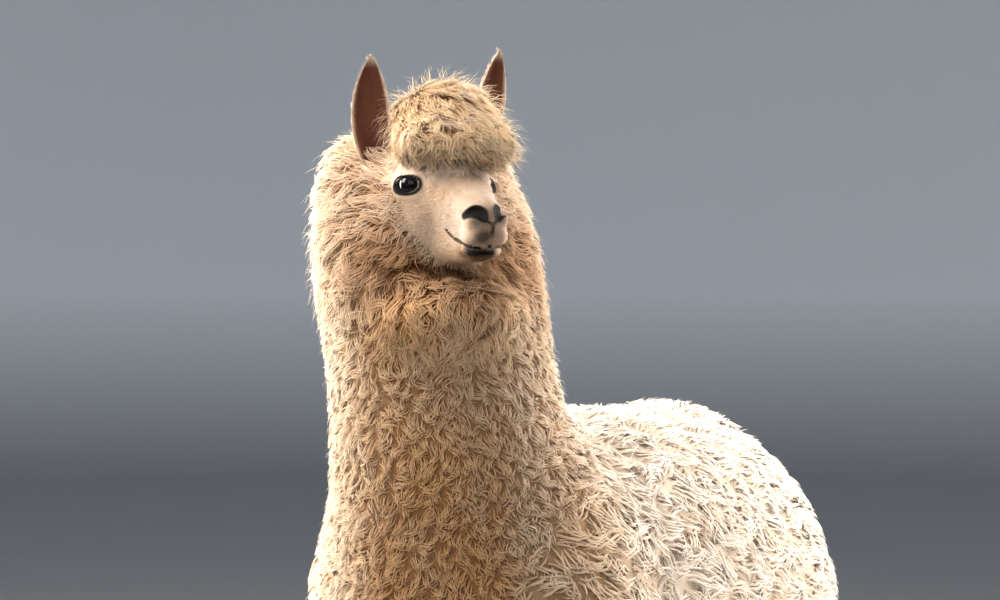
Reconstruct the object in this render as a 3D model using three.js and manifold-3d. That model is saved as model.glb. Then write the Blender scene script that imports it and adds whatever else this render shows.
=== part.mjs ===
// A standing alpaca in full fleece, life size, head turned to its left. Millimetres, +Z up, the animal faces -Y and its
// left side is +X. The outline out to the tips of the fleece is one implicit surface: ellipsoids and tapered tubes that
// run into each other, negative inside. It is meshed region by region and parted into trunk, neck, head, ears, tail,
// legs and feet with thin cuts. Eyes sit in sockets and nails on the toes.
import * as THREE from 'three';
import { mergeVertices } from 'three/addons/utils/BufferGeometryUtils.js';
import Module from 'manifold-3d';

// ---------------------------------------------------------------- driving sizes
const GAP = 0.3;                        // between neighbouring pieces
const BODY_TURN = 34;                   // degrees, the plane the head and neck were laid out in
const HEAD_YAW = 58, HEAD_ROLL = 3.5;   // head turned to its left, left side a little up
const EYE_HEIGHT = 1297;                // midpoint between the eyes
const WITHERS = { y: -392 };            // top of the neck
const CUT_LEG = 385, CUT_FOOT = 75, CUT_HEAD = 1172;
const CUT_NECK = { point: [0, -300, 849], normal: [0, -0.624, 0.782] };
const EYE = { at: [-12.5, 45.3, -3], r: 22, look: [0.682, 0.731, 0.0], slit: [18.5, 12, 13] };
const NOSTRIL = { at: [131, 20, -48], r: [12, 5, 7] };
const FORE_FOOT = [111, -302], HIND_FOOT = [117, 396];

const rad = (a) => (a * Math.PI) / 180;
const RIGHT = [Math.cos(rad(BODY_TURN)), Math.sin(rad(BODY_TURN)), 0];
const BACK = [Math.sin(rad(BODY_TURN)), -Math.cos(rad(BODY_TURN)), 0];
const HEAD_AT = [RIGHT[0] * 36 + BACK[0] * 135, WITHERS.y + RIGHT[1] * 36 + BACK[1] * 135, EYE_HEIGHT];

// head axes: f out of the nose, s to its left, u up
const HEAD = (() => {
  const y = rad(HEAD_YAW), r = rad(HEAD_ROLL);
  const f = [Math.sin(y), -Math.cos(y), 0], s0 = [Math.cos(y), Math.sin(y), 0];
  const s = [s0[0] * Math.cos(r), s0[1] * Math.cos(r), Math.sin(r)];
  const u = [-s0[0] * Math.sin(r), -s0[1] * Math.sin(r), Math.cos(r)];
  return { f, s, u };
})();
const toWorld = (h) => [0, 1, 2].map((i) => HEAD_AT[i] + HEAD.f[i] * h[0] + HEAD.s[i] * h[1] + HEAD.u[i] * h[2]);
const turn = (h) => [0, 1, 2].map((i) => HEAD.f[i] * h[0] + HEAD.s[i] * h[1] + HEAD.u[i] * h[2]);
const toHead = (p) => {
  const q = [p[0] - HEAD_AT[0], p[1] - HEAD_AT[1], p[2] - HEAD_AT[2]];
  return [HEAD.f, HEAD.s, HEAD.u].map((a) => q[0] * a[0] + q[1] * a[1] + q[2] * a[2]);
};

// ---------------------------------------------------------------- implicit shapes
const smin = (a, b, k) => {
  const h = Math.max(k - Math.abs(a - b), 0) / k;
  return Math.min(a, b) - h * h * k * 0.25;
};
const ell = (p, c, r) => {
  let a = 0, b = 0;
  for (let i = 0; i < 3; i++) {
    const q = (p[i] - c[i]) / r[i];
    a += q * q;
    b += (q / r[i]) ** 2;
  }
  const k0 = Math.sqrt(a) + 1e-9;
  return (k0 * (k0 - 1)) / (Math.sqrt(b) + 1e-9);
};
// boxy ellipsoid of exponent n, with its own depth below the centre
const barrel = (p, c, r, n, down) => {
  const R = [r[0], r[1], p[2] < c[2] ? down : r[2]];
  const q = [0, 1, 2].map((i) => Math.abs(p[i] - c[i]) / R[i]);
  const f = (q[0] ** n + q[1] ** n + q[2] ** n + 1e-12) ** (1 / n);
  const g = f ** (1 - n);
  const d = Math.hypot(...q.map((v, i) => (g * v ** (n - 1)) / R[i]));
  return (f - 1) / (d + 1e-9);
};
const cone = (p, a, b) => {
  const d = [b[0] - a[0], b[1] - a[1], b[2] - a[2]];
  let t = ((p[0] - a[0]) * d[0] + (p[1] - a[1]) * d[1] + (p[2] - a[2]) * d[2]) / (d[0] ** 2 + d[1] ** 2 + d[2] ** 2);
  t = Math.min(Math.max(t, 0), 1);
  return Math.hypot(p[0] - a[0] - t * d[0], p[1] - a[1] - t * d[1], p[2] - a[2] - t * d[2]) - (a[3] + (b[3] - a[3]) * t);
};
const tube = (p, pts, k) => {
  let out = cone(p, pts[0], pts[1]);
  for (let i = 1; i < pts.length - 1; i++) out = smin(out, cone(p, pts[i], pts[i + 1]), k);
  return out;
};
// smooth line through stations of [x, y, z, radius], n steps between two stations
const line = (P, n) => {
  const ends = (a, b) => a.map((v, i) => 2 * v - b[i]);
  const Q = [ends(P[0], P[1]), ...P, ends(P[P.length - 1], P[P.length - 2])];
  const out = [];
  for (let i = 1; i < Q.length - 2; i++)
    for (let j = 0; j < n; j++) {
      const t = j / n;
      out.push(Q[i].map((b, m) => {
        const a = Q[i - 1][m], c = Q[i + 1][m], d = Q[i + 2][m];
        return 0.5 * (2 * b + (c - a) * t + (2 * a - 5 * b + 4 * c - d) * t * t + (3 * b - a - 3 * c + d) * t ** 3);
      }));
    }
  out.push(P[P.length - 1]);
  return out;
};
const mirror = (p) => [Math.abs(p[0]), p[1], p[2]];

// ---------------------------------------------------------------- the animal
const NECK_WIDE = 0.95;
const NECK = line([[0, -190, 600, 205], [2, -262, 720, 208], [4, -308, 840, 188], [5, -342, 960, 167], [4, -366, 1080, 159],
  [0, -384, 1170, 158], [-2, -396, 1232, 152]], 2);
const FORE = line([[96, -262, 560, 112], [104, -288, 440, 78], [108, -292, 330, 66], [110, -290, 220, 56],
  [111, -291, 130, 50], [111, -296, 88, 40]], 2);
const HIND = line([[108, 290, 560, 150], [118, 350, 440, 104], [120, 415, 345, 70], [119, 432, 270, 56],
  [118, 420, 170, 50], [117, 404, 96, 42]], 2);
const TAIL = line([[0, 500, 850, 40], [0, 538, 800, 50], [0, 560, 730, 50], [0, 566, 660, 42], [0, 562, 612, 26]], 2);
const CROWN = line([[-56, 0, 0, 60], [-8, 0, -5, 56], [34, 0, -21, 44], [72, 0, -40, 33], [104, 0, -54, 27], [120, 0, -62, 23]], 2);
const JAW = line([[-42, 0, -54, 47], [6, 0, -69, 41], [52, 0, -82, 31], [90, 0, -91, 21]], 2);

const trunk = (p) => {
  const q = mirror(p);
  let d = barrel(p, [0, 66, 630], [283, 492, 346], 2.5, 222);
  d = smin(d, ell(q, [118, -268, 650], [150, 150, 215]), 60);     // shoulder
  d = smin(d, ell(q, [112, 318, 615], [154, 205, 240]), 60);      // thigh
  return smin(d, ell(p, [0, 292, 700], [178, 212, 276]), 60);     // rump
};
const foot = (q, [x, y]) => {
  const toe = (sx) => cone(q, [x + sx * 17, y + 12, 20, 24], [x + sx * 21, y - 52, 11, 15]);
  return smin(smin(toe(-1), toe(1), 6), ell(q, [x, y + 6, 44], [33, 34, 42]), 18);
};
const tail = (p) => tube(p, TAIL, 12);
const face = (h) => {
  const q = [h[0], Math.hypot(h[1], 1), h[2]];
  let d = smin(tube(h, CROWN, 8), tube(h, JAW, 8), 26);
  d = smin(d, ell(q, [-26, 34, -46], [50, 32, 46]), 22);          // cheek
  d = smin(d, ell(q, [-13, 42, -2], [35, 24, 27]), 14);           // orbit
  d = smin(d, ell(q, [-12.5, 45.3, -3], [24.5, 24.5, 24.5]), 6);  // lids
  d = smin(d, ell(q, [113, 15, -79], [24, 16, 18]), 9);           // upper lip
  d = smin(d, ell(q, [121, 13, -56], [17, 17, 16]), 9);           // nostril wing
  return smin(d, ell(q, [103, 0, -98], [25, 23, 14]), 8);         // chin
};
const topknot = (h) => {
  const d = smin(ell(h, [-22, 7, 80], [78, 79, 64]), ell(h, [46, 22, 50], [52, 55, 38]), 40);
  return smin(d, ell(h, [26, -32, 50], [48, 46, 36]), 30);
};
const ruff = (h) => {
  const q = [h[0], Math.abs(h[1] - 4), h[2]];
  const d = smin(ell(q, [-136, 82, -50], [74, 68, 105]), ell(q, [-136, 84, 20], [60, 50, 62]), 40);
  return smin(d, ell(h, [-28, 4, -184], [92, 104, 64]), 60);      // bib under the jaw
};
const headCoat = (p) => {
  const h = toHead(p);
  return smin(smin(face(h), topknot(h), 16), ruff(h), 14);
};
// everything but ears and tail
const body = (p) => {
  const q = mirror(p);
  let d = trunk(p);
  d = smin(d, tube(q, FORE, 22), 70);
  d = smin(d, tube(q, HIND, 22), 80);
  d = smin(d, tube([p[0] / NECK_WIDE, p[1], p[2]], NECK, 30), 90);
  d = smin(d, Math.min(foot(q, FORE_FOOT), foot(q, HIND_FOOT)), 10);
  return smin(d, headCoat(p), 26);
};

// ---------------------------------------------------------------- meshing
// A grid of rising stations: the step is `fine` between from and to, `coarse` outside
const steps = (lo, hi, coarse, from = lo, to = lo, fine = coarse) => {
  const out = [lo];
  while (out[out.length - 1] < hi) {
    const x = out[out.length - 1];
    out.push(x + (x >= from && x < to ? fine : coarse));
  }
  return out;
};
const slope = (f, p) => {
  const e = 0.05, g = [0, 1, 2].map((i) => {
    const a = [...p], b = [...p];
    a[i] += e; b[i] -= e;
    return (f(a) - f(b)) / (2 * e);
  });
  const n = Math.hypot(...g) + 1e-9;
  return { g: g.map((v) => v / n), n };
};
// Surface of f inside the grid, closed along the grid's own walls. place turns grid coordinates into world ones.
const surface = (f, [X, Y, Z], place = (v) => v) => {
  const nx = X.length, ny = Y.length, nz = Z.length;
  const at = (i, j, k) => (i * ny + j) * nz + k;
  const val = new Float64Array(nx * ny * nz);
  for (let i = 0; i < nx; i++) for (let j = 0; j < ny; j++) for (let k = 0; k < nz; k++) {
    const wall = i === 0 || j === 0 || k === 0 || i === nx - 1 || j === ny - 1 || k === nz - 1;
    val[at(i, j, k)] = wall ? Math.max(f(place([X[i], Y[j], Z[k]])), 1) : f(place([X[i], Y[j], Z[k]]));
  }
  const id = new Int32Array(nx * ny * nz).fill(-1), pts = [];
  for (let i = 0; i < nx - 1; i++) for (let j = 0; j < ny - 1; j++) for (let k = 0; k < nz - 1; k++) {
    let n = 0;
    const c = [0, 0, 0];
    const add = (a, b) => {
      const va = val[at(...a)], vb = val[at(...b)];
      if ((va < 0) === (vb < 0)) return;
      const t = va / (va - vb);
      [X, Y, Z].forEach((G, m) => { c[m] += G[a[m]] + (G[b[m]] - G[a[m]]) * t; });
      n++;
    };
    for (const u of [0, 1]) for (const v of [0, 1]) {
      add([i, j + u, k + v], [i + 1, j + u, k + v]);
      add([i + u, j, k + v], [i + u, j + 1, k + v]);
      add([i + u, j + v, k], [i + u, j + v, k + 1]);
    }
    if (!n) continue;
    let p = place(c.map((v) => v / n));
    const rim = i === 0 || j === 0 || k === 0 || i === nx - 2 || j === ny - 2 || k === nz - 2;
    for (let m = 0; m < 3 && !rim; m++) {                          // onto the surface itself
      const { g, n: len } = slope(f, p);
      const d = Math.max(-4, Math.min(4, f(p) / Math.max(len, 0.5)));
      p = p.map((v, a) => v - g[a] * d);
    }
    id[at(i, j, k)] = pts.length;
    pts.push(p);
  }
  const tris = [];
  const quad = (a, b, c, d, flip) => {
    const q = flip ? [d, c, b, a] : [a, b, c, d];
    const dist = (m, n) => Math.hypot(...pts[m].map((v, x) => v - pts[n][x]));
    if (dist(q[0], q[2]) < dist(q[1], q[3])) tris.push(q[0], q[1], q[2], q[0], q[2], q[3]);
    else tris.push(q[0], q[1], q[3], q[1], q[2], q[3]);
  };
  for (let i = 0; i < nx - 1; i++) for (let j = 0; j < ny - 1; j++) for (let k = 0; k < nz - 1; k++) {
    const v = val[at(i, j, k)] < 0;
    if (j && k && v !== val[at(i + 1, j, k)] < 0)
      quad(id[at(i, j - 1, k - 1)], id[at(i, j, k - 1)], id[at(i, j, k)], id[at(i, j - 1, k)], !v);
    if (i && k && v !== val[at(i, j + 1, k)] < 0)
      quad(id[at(i - 1, j, k - 1)], id[at(i - 1, j, k)], id[at(i, j, k)], id[at(i, j, k - 1)], !v);
    if (i && j && v !== val[at(i, j, k + 1)] < 0)
      quad(id[at(i - 1, j - 1, k)], id[at(i, j - 1, k)], id[at(i, j, k)], id[at(i - 1, j, k)], !v);
  }
  return { pts, tris };
};

const wasm = await Module();
wasm.setup();
const solid = ({ pts, tris }) => new wasm.Manifold(new wasm.Mesh({
  numProp: 3, vertProperties: new Float32Array(pts.flat()), triVerts: new Uint32Array(tris) }));
const grown = (f, { pts, tris }, d) => solid({ pts: pts.map((p) => { const { g } = slope(f, p); return p.map((v, a) => v + g[a] * d); }), tris });
const solidOf = (geometry, matrix) => {
  const g = geometry.clone().applyMatrix4(matrix);
  g.deleteAttribute('normal');
  g.deleteAttribute('uv');
  const m = mergeVertices(g, 1e-3);
  return new wasm.Manifold(new wasm.Mesh({ numProp: 3, vertProperties: new Float32Array(m.attributes.position.array),
    triVerts: new Uint32Array(m.index.array) }));
};
const geometryOf = (s) => {
  const m = s.getMesh();
  const pos = new Float32Array(m.numVert * 3);
  for (let i = 0; i < m.numVert; i++) for (let a = 0; a < 3; a++) pos[i * 3 + a] = m.vertProperties[i * m.numProp + a];
  const g = new THREE.BufferGeometry();
  g.setAttribute('position', new THREE.BufferAttribute(pos, 3));
  g.setIndex(new THREE.BufferAttribute(new Uint32Array(m.triVerts), 1));
  g.computeVertexNormals();
  return g;
};
// half space as a big box: everything on the side the normal points to
const half = (point, normal) => {
  const n = new THREE.Vector3(...normal).normalize();
  const q = new THREE.Quaternion().setFromUnitVectors(new THREE.Vector3(0, 0, 1), n);
  const c = new THREE.Vector3(...point).addScaledVector(n, 2000);
  return solidOf(new THREE.BoxGeometry(4000, 4000, 4000), new THREE.Matrix4().compose(c, q, new THREE.Vector3(1, 1, 1)));
};
const above = (z) => half([0, 0, z], [0, 0, 1]);
const below = (z) => half([0, 0, z], [0, 0, -1]);
// ellipsoid of half sizes r at c, its axes x, y, z
const blob = (c, r, axes, w = 18, h = 12) => {
  const m = new THREE.Matrix4().makeBasis(...axes.map((a) => new THREE.Vector3(...a).normalize()));
  m.setPosition(...c);
  m.multiply(new THREE.Matrix4().makeScale(...r));
  return solidOf(new THREE.SphereGeometry(1, w, h), m);
};

// ---------------------------------------------------------------- the pieces
const N = CUT_NECK.normal, shifted = (p, d) => p.map((v, i) => v + N[i] * d);
const pieces = {};

// trunk: neck off in front, legs off below
const trunkGrid = [steps(-325, 360, 50), steps(-570, 680, 52), steps(330, 1240, 50)];
const trunkMesh = surface(body, trunkGrid);
pieces.trunk = solid(trunkMesh).intersect(half(shifted(CUT_NECK.point, -GAP / 2), N.map((v) => -v))).intersect(above(CUT_LEG + GAP / 2));

// neck, out to the ruff
const neckMesh = surface(body, [steps(-308, 330, 37), steps(-660, 60, 37), steps(540, 1260, 44, 1060, 1260, 27)]);
pieces.neck = solid(neckMesh).intersect(half(shifted(CUT_NECK.point, GAP / 2), N)).intersect(below(CUT_HEAD - GAP / 2));

// head, with a finer grid over the face
const headMesh = surface(body, [
  steps(-331, 180, 30, -20, 180, 12.5), steps(-238, 240, 29, -50, 52, 13), steps(-204, 190, 29, -119, -10, 12.3)], toWorld);
let head = solid(headMesh).intersect(above(CUT_HEAD + GAP / 2));
for (const [name, side] of [['left', 1], ['right', -1]]) {
  const flip = (v) => [v[0], v[1] * side, v[2]];
  const c = toWorld(flip(EYE.at)), look = new THREE.Vector3(...turn(flip(EYE.look))).normalize();
  const up = new THREE.Vector3(...HEAD.u), along = new THREE.Vector3().crossVectors(up, look).normalize();
  const axes = [along, up.clone().crossVectors(look, along), look].map((v) => v.toArray());
  const spun = [along, up, look].map((v) => v.clone().applyAxisAngle(look, 0.4).toArray());
  pieces[`eye_${name}`] = blob(c, [EYE.r, EYE.r, EYE.r], spun, 12, 8);
  head = head.subtract(blob(c, [EYE.r + GAP, EYE.r + GAP, EYE.r + GAP], spun, 12, 8));
  const front = look.clone().multiplyScalar(EYE.r).toArray().map((v, i) => v + c[i]);
  head = head.subtract(blob(front, EYE.slit, [axes[0], axes[2], axes[1].map((v) => -v)], 13, 7));
  head = head.subtract(blob(toWorld(flip(NOSTRIL.at)), NOSTRIL.r, [turn([0.8, -0.6 * side, 0]), turn([0.6, 0.8 * side, 0]), HEAD.u.map((v) => v * side)], 8, 6));
}
pieces.head = head;

// ears: cupped leaves, widest at two fifths, drawn to a point
const EAR = { left: { base: [-78, 70, 22], tip: [-56, 112, 188], face: [0.93, 0.30, 0] },
  right: { base: [-78, -73, 22], tip: [-58, -80, 182], face: [0.93, -0.25, 0] } };
const EAR_WIDE = 28, EAR_BOW = 5, EAR_THICK = [9, 5.5], EAR_ROWS = 12, EAR_COLS = 6;
const headGrown = grown(body, headMesh, GAP);
for (const name of ['left', 'right']) {
  const side = name === 'left' ? 1 : -1, e = EAR[name];
  const b = new THREE.Vector3(...e.base), L = new THREE.Vector3(...e.tip).sub(b).length();
  const a = new THREE.Vector3(...e.tip).sub(b).normalize();
  const n = new THREE.Vector3(...e.face).addScaledVector(a, -new THREE.Vector3(...e.face).dot(a)).normalize();
  const w = new THREE.Vector3().crossVectors(a, n).multiplyScalar(side);
  const spot = (t, c, z) => {
    const up = Math.max((t - 0.4) / 0.6, 0), dn = Math.max((0.4 - t) / 0.5, 0);
    const hw = EAR_WIDE * (1 - up ** 2.2) ** 0.9 * (1 - Math.min(dn, 1) ** 2) ** 0.8 + 2.2;
    const th = (EAR_THICK[0] + (EAR_THICK[1] - EAR_THICK[0]) * t) * Math.sqrt(Math.max(1 - c ** 4, 0)) * Math.min(1, (1 - t) * 6 + 0.35);
    const mid = 0.5 * hw * (c * c - 1) + 4;
    const v = b.clone().addScaledVector(a, t * L).addScaledVector(w, c * hw + EAR_BOW * 4 * t * (1 - t)).addScaledVector(n, mid + z * th * 0.5);
    return toWorld(v.toArray());
  };
  const rings = [];
  for (let i = 0; i <= EAR_ROWS; i++) {
    const t = -0.02 + (1.0 + 0.02) * (i / EAR_ROWS);
    const ring = [];
    for (let j = 0; j <= EAR_COLS; j++) ring.push(spot(t, -1 + (2 * j) / EAR_COLS, 1));
    for (let j = EAR_COLS - 1; j > 0; j--) ring.push(spot(t, -1 + (2 * j) / EAR_COLS, -1));
    rings.push(ring);
  }
  const m = rings[0].length, pts = rings.flat(), tris = [];
  const centre = (r) => [0, 1, 2].map((k) => r.reduce((sum, v) => sum + v[k], 0) / r.length);
  const lo = pts.push(centre(rings[0])) - 1, hi = pts.push(centre(rings[EAR_ROWS])) - 1;
  for (let i = 0; i < EAR_ROWS; i++) for (let j = 0; j < m; j++) {
    const p = i * m + j, q = i * m + ((j + 1) % m);
    tris.push(p, q, q + m, p, q + m, p + m);
  }
  for (let j = 0; j < m; j++) {
    tris.push(lo, (j + 1) % m, j);
    tris.push(hi, EAR_ROWS * m + j, EAR_ROWS * m + ((j + 1) % m));
  }
  if (side < 0) for (let i = 0; i < tris.length; i += 3) [tris[i], tris[i + 1]] = [tris[i + 1], tris[i]];
  let leaf = solid({ pts, tris });
  pieces[`ear_${name}`] = leaf.subtract(headGrown);
}

// tail, hanging close to the rump
const tailMesh = surface(tail, [steps(-80, 84, 30), steps(430, 660, 27), steps(530, 930, 45)]);
pieces.tail = solid(tailMesh).subtract(grown(body, trunkMesh, GAP));

// legs, feet and nails
for (const [part, line0, at] of [['foreleg', FORE, FORE_FOOT], ['hindleg', HIND, HIND_FOOT]])
  for (const [name, side] of [['left', 1], ['right', -1]]) {
    const [x, y] = at, X = (lo, hi, s) => (side > 0 ? steps(lo, hi, s) : steps(-hi, -lo, s));
    const leg = surface(body, [X(x - 122, x + 140, 36), steps(y - 150, y + 190, 36), steps(-20, 480, 52)]);
    pieces[`${part}_${name}`] = solid(leg).intersect(below(CUT_LEG - GAP / 2)).intersect(above(CUT_FOOT + GAP / 2))
      .intersect(solidOf(new THREE.BoxGeometry(220, 500, 1000), new THREE.Matrix4().makeTranslation(side * x, y + 40, 400)));
    const footMesh = surface(body, [X(x - 66, x + 80, 17), steps(y - 98, y + 94, 18), steps(-33, 130, 18.5)]);
    const kind = part === 'foreleg' ? 'forefoot' : 'hindfoot';
    pieces[`${kind}_${name}`] = solid(footMesh).intersect(below(CUT_FOOT - GAP / 2)).intersect(above(0));
    const clear = grown(body, footMesh, GAP);
    for (const [toe, sx] of [['outer', side], ['inner', -side]]) {
      const c = [side * x + sx * 21, y - 58, 17], tip = [0, -0.93, -0.36];
      const axes = [[1, 0, 0], tip, [0, 0.36, -0.93]];
      pieces[`nail_${kind}_${name}_${toe}`] = blob(c, [7.5, 19, 8], axes, 6, 5).subtract(clear).intersect(above(2));
    }
  }

// ---------------------------------------------------------------- colours
const fleece = new THREE.MeshStandardMaterial({ color: 0xd8bc9c, roughness: 0.95, metalness: 0 });
const paleFleece = new THREE.MeshStandardMaterial({ color: 0xe2d0b8, roughness: 0.95, metalness: 0 });
const faceHair = new THREE.MeshStandardMaterial({ color: 0xdcc2a8, roughness: 0.9, metalness: 0 });
const eyeDark = new THREE.MeshStandardMaterial({ color: 0x140d0a, roughness: 0.08, metalness: 0 });
const horn = new THREE.MeshStandardMaterial({ color: 0x4a3a2e, roughness: 0.5, metalness: 0 });
const look = (name) => (name.startsWith('eye') ? eyeDark : name.startsWith('nail') ? horn
  : name === 'trunk' || name === 'tail' ? paleFleece : name === 'head' || name.startsWith('ear') ? faceHair : fleece);

const alpaca = new THREE.Group();
alpaca.name = 'alpaca';
const box = new THREE.Box3();
for (const [name, s] of Object.entries(pieces)) {
  const mesh = new THREE.Mesh(geometryOf(s), look(name));
  mesh.name = name;
  alpaca.add(mesh);
  box.expandByObject(mesh);
}
// origin on the floor, under the middle of the whole animal
const mid = box.getCenter(new THREE.Vector3());
alpaca.position.set(-Math.round(mid.x * 10) / 10, -Math.round(mid.y * 10) / 10, 0);

export default alpaca;
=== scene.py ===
import bpy
import numpy as np
from math import sin, cos, radians, pi, atan2, sqrt
from mathutils import Matrix, Vector
from mathutils.kdtree import KDTree


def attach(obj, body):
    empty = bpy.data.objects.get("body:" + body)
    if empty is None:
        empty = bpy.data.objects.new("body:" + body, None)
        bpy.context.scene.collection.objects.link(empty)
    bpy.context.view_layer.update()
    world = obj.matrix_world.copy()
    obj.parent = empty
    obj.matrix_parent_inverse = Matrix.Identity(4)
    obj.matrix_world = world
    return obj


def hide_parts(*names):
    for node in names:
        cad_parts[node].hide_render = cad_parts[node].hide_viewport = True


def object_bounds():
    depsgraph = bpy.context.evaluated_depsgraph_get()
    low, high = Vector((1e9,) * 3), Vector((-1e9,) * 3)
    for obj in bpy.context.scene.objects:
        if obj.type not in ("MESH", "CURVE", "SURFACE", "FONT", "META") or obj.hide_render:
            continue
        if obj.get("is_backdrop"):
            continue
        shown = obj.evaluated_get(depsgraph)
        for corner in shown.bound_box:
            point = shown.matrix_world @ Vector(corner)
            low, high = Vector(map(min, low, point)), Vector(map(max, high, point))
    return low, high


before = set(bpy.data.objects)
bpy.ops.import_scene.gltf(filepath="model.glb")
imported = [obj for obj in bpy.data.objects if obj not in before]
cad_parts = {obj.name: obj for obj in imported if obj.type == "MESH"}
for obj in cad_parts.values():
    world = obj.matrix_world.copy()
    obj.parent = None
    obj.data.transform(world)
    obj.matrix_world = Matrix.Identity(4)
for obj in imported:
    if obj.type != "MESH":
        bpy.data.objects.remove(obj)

from concurrent.futures import ThreadPoolExecutor

low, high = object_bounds()
RNG = np.random.default_rng(7)

# ---------------------------------------------------------------- sizes, mm, before the shift to the middle of the base
SHIFT = np.array([-1.1, -20.2, 0.0])
VIEW = radians(34.0)
RIGHT, BACK = np.array([cos(VIEW), sin(VIEW), 0]), np.array([sin(VIEW), -cos(VIEW), 0])
NECK_TOP = np.array([0, -392.0, 0])
HEAD_AT = NECK_TOP + RIGHT * 36 + BACK * 135 + np.array([0, 0, 1297.0])
CAMERA_AT = NECK_TOP + RIGHT * 107 + BACK * 3370 + np.array([0, 0, 1080.0])


def head_axes(yaw, roll):
    f = np.array([sin(yaw), -cos(yaw), 0.0])
    s0 = np.array([cos(yaw), sin(yaw), 0.0])
    z = np.array([0, 0, 1.0])
    return np.stack([f, s0 * cos(roll) + z * sin(roll), z * cos(roll) - s0 * sin(roll)], 1)


HEAD = head_axes(radians(58), radians(3.5))     # columns: out of the nose, to its left, up


def to_head(p):
    return (p - HEAD_AT) @ HEAD


def from_head(h):
    return np.asarray(h, float) @ HEAD.T + HEAD_AT


# ---------------------------------------------------------------- implicit shapes, negative inside
def smin(a, b, k):
    h = np.maximum(k - np.abs(a - b), 0.0) / k
    return np.minimum(a, b) - h * h * k * 0.25


def smax(a, b, k):
    return -smin(-a, -b, k)


def ell(p, c, r):
    q = (p - np.asarray(c, float)) / np.asarray(r, float)
    k0 = np.sqrt((q * q).sum(1)) + 1e-9
    k1 = np.sqrt(((q / np.asarray(r, float)) ** 2).sum(1)) + 1e-9
    return k0 * (k0 - 1) / k1


def barrel(p, c, r, n, down):
    q = np.abs(p - np.asarray(c, float))
    rz = np.where(p[:, 2] < c[2], down, r[2])
    a, b, z = q[:, 0] / r[0], q[:, 1] / r[1], q[:, 2] / rz
    f = (a ** n + b ** n + z ** n + 1e-12) ** (1 / n)
    g = f ** (1 - n)
    gx, gy, gz = g * a ** (n - 1) / r[0], g * b ** (n - 1) / r[1], g * z ** (n - 1) / rz
    return (f - 1) / (np.sqrt(gx * gx + gy * gy + gz * gz) + 1e-9)


def cone(p, a, b):
    a, b = np.asarray(a, float), np.asarray(b, float)
    d = b[:3] - a[:3]
    q = p - a[:3]
    t = np.clip((q @ d) / (d @ d), 0, 1)
    q = q - t[:, None] * d
    return np.sqrt((q * q).sum(1)) - (a[3] + (b[3] - a[3]) * t)


def tube(p, pts, k):
    out = cone(p, pts[0], pts[1])
    for a, b in zip(pts[1:-1], pts[2:]):
        out = smin(out, cone(p, a, b), k)
    return out


def line(P, n):
    P = np.asarray(P, float)
    P = np.vstack([2 * P[0] - P[1], P, 2 * P[-1] - P[-2]])
    out = []
    for i in range(1, len(P) - 2):
        for j in range(n):
            t = j / n
            a, b, c, d = P[i - 1], P[i], P[i + 1], P[i + 2]
            out.append(0.5 * (2 * b + (c - a) * t + (2 * a - 5 * b + 4 * c - d) * t * t
                              + (3 * b - a - 3 * c + d) * t ** 3))
    out.append(P[-2])
    return np.array(out)


def mirror(p):
    q = p.copy()
    q[:, 0] = np.abs(q[:, 0])
    return q


def step(a, b, x):
    t = np.clip((x - a) / (b - a), 0, 1)
    return t * t * (3 - 2 * t)


def unit(v):
    return v / (np.sqrt((v * v).sum(-1, keepdims=True)) + 1e-12)


# ---------------------------------------------------------------- the animal, out to the tips of the coat
NECK = line([(0, -190, 600, 205), (2, -262, 720, 208), (4, -308, 840, 188), (5, -342, 960, 167), (4, -366, 1080, 159),
             (0, -384, 1170, 158), (-2, -396, 1232, 152)], 2)
FORE = line([(96, -262, 560, 112), (104, -288, 440, 78), (108, -292, 330, 66), (110, -290, 220, 56),
             (111, -291, 130, 50), (111, -296, 88, 40)], 2)
HIND = line([(108, 290, 560, 150), (118, 350, 440, 104), (120, 415, 345, 70), (119, 432, 270, 56),
             (118, 420, 170, 50), (117, 404, 96, 42)], 2)
TAIL = line([(0, 500, 850, 40), (0, 538, 800, 50), (0, 560, 730, 50), (0, 566, 660, 42), (0, 562, 612, 26)], 2)
CROWN = line([(-56, 0, 0, 60), (-8, 0, -5, 56), (34, 0, -21, 44), (72, 0, -40, 33), (104, 0, -54, 27),
              (120, 0, -62, 23)], 2)
JAW = line([(-42, 0, -54, 47), (6, 0, -69, 41), (52, 0, -82, 31), (90, 0, -91, 21)], 2)
EYE, EYE_R = np.array([-12.5, 45.3, -3.0]), 22.0
LOOK = np.array([0.682, 0.731, 0.0])


def trunk(p):
    q = mirror(p)
    d = barrel(p, (0, 66, 630), (283, 492, 346), 2.5, 222)
    d = smin(d, ell(q, (118, -268, 650), (150, 150, 215)), 60)
    d = smin(d, ell(q, (112, 318, 615), (154, 205, 240)), 60)
    return smin(d, ell(p, (0, 292, 700), (178, 212, 276)), 60)


def neck(p):
    return tube(p * (1 / 0.95, 1, 1), NECK, 30)


def foot(q, x, y):
    d = smin(cone(q, (x - 17, y + 12, 20, 24), (x - 21, y - 52, 11, 15)),
             cone(q, (x + 17, y + 12, 20, 24), (x + 21, y - 52, 11, 15)), 6)
    return smin(d, ell(q, (x, y + 6, 44), (33, 34, 42)), 18)


def face(h):
    q = h.copy()
    q[:, 1] = np.sqrt(q[:, 1] ** 2 + 1)
    d = smin(tube(h, CROWN, 8), tube(h, JAW, 8), 26)
    d = smin(d, ell(q, (-26, 34, -46), (50, 32, 46)), 22)         # cheek
    d = smin(d, ell(q, (-13, 42, -2), (35, 24, 27)), 14)          # orbit
    d = smin(d, ell(q, EYE, (24.5, 24.5, 24.5)), 6)               # lids
    d = smin(d, ell(q, (113, 15, -79), (24, 16, 18)), 9)          # upper lip
    d = smin(d, ell(q, (121, 13, -56), (17, 17, 16)), 9)          # nostril wing
    return smin(d, ell(q, (103, 0, -98), (25, 23, 14)), 8)        # chin


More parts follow.
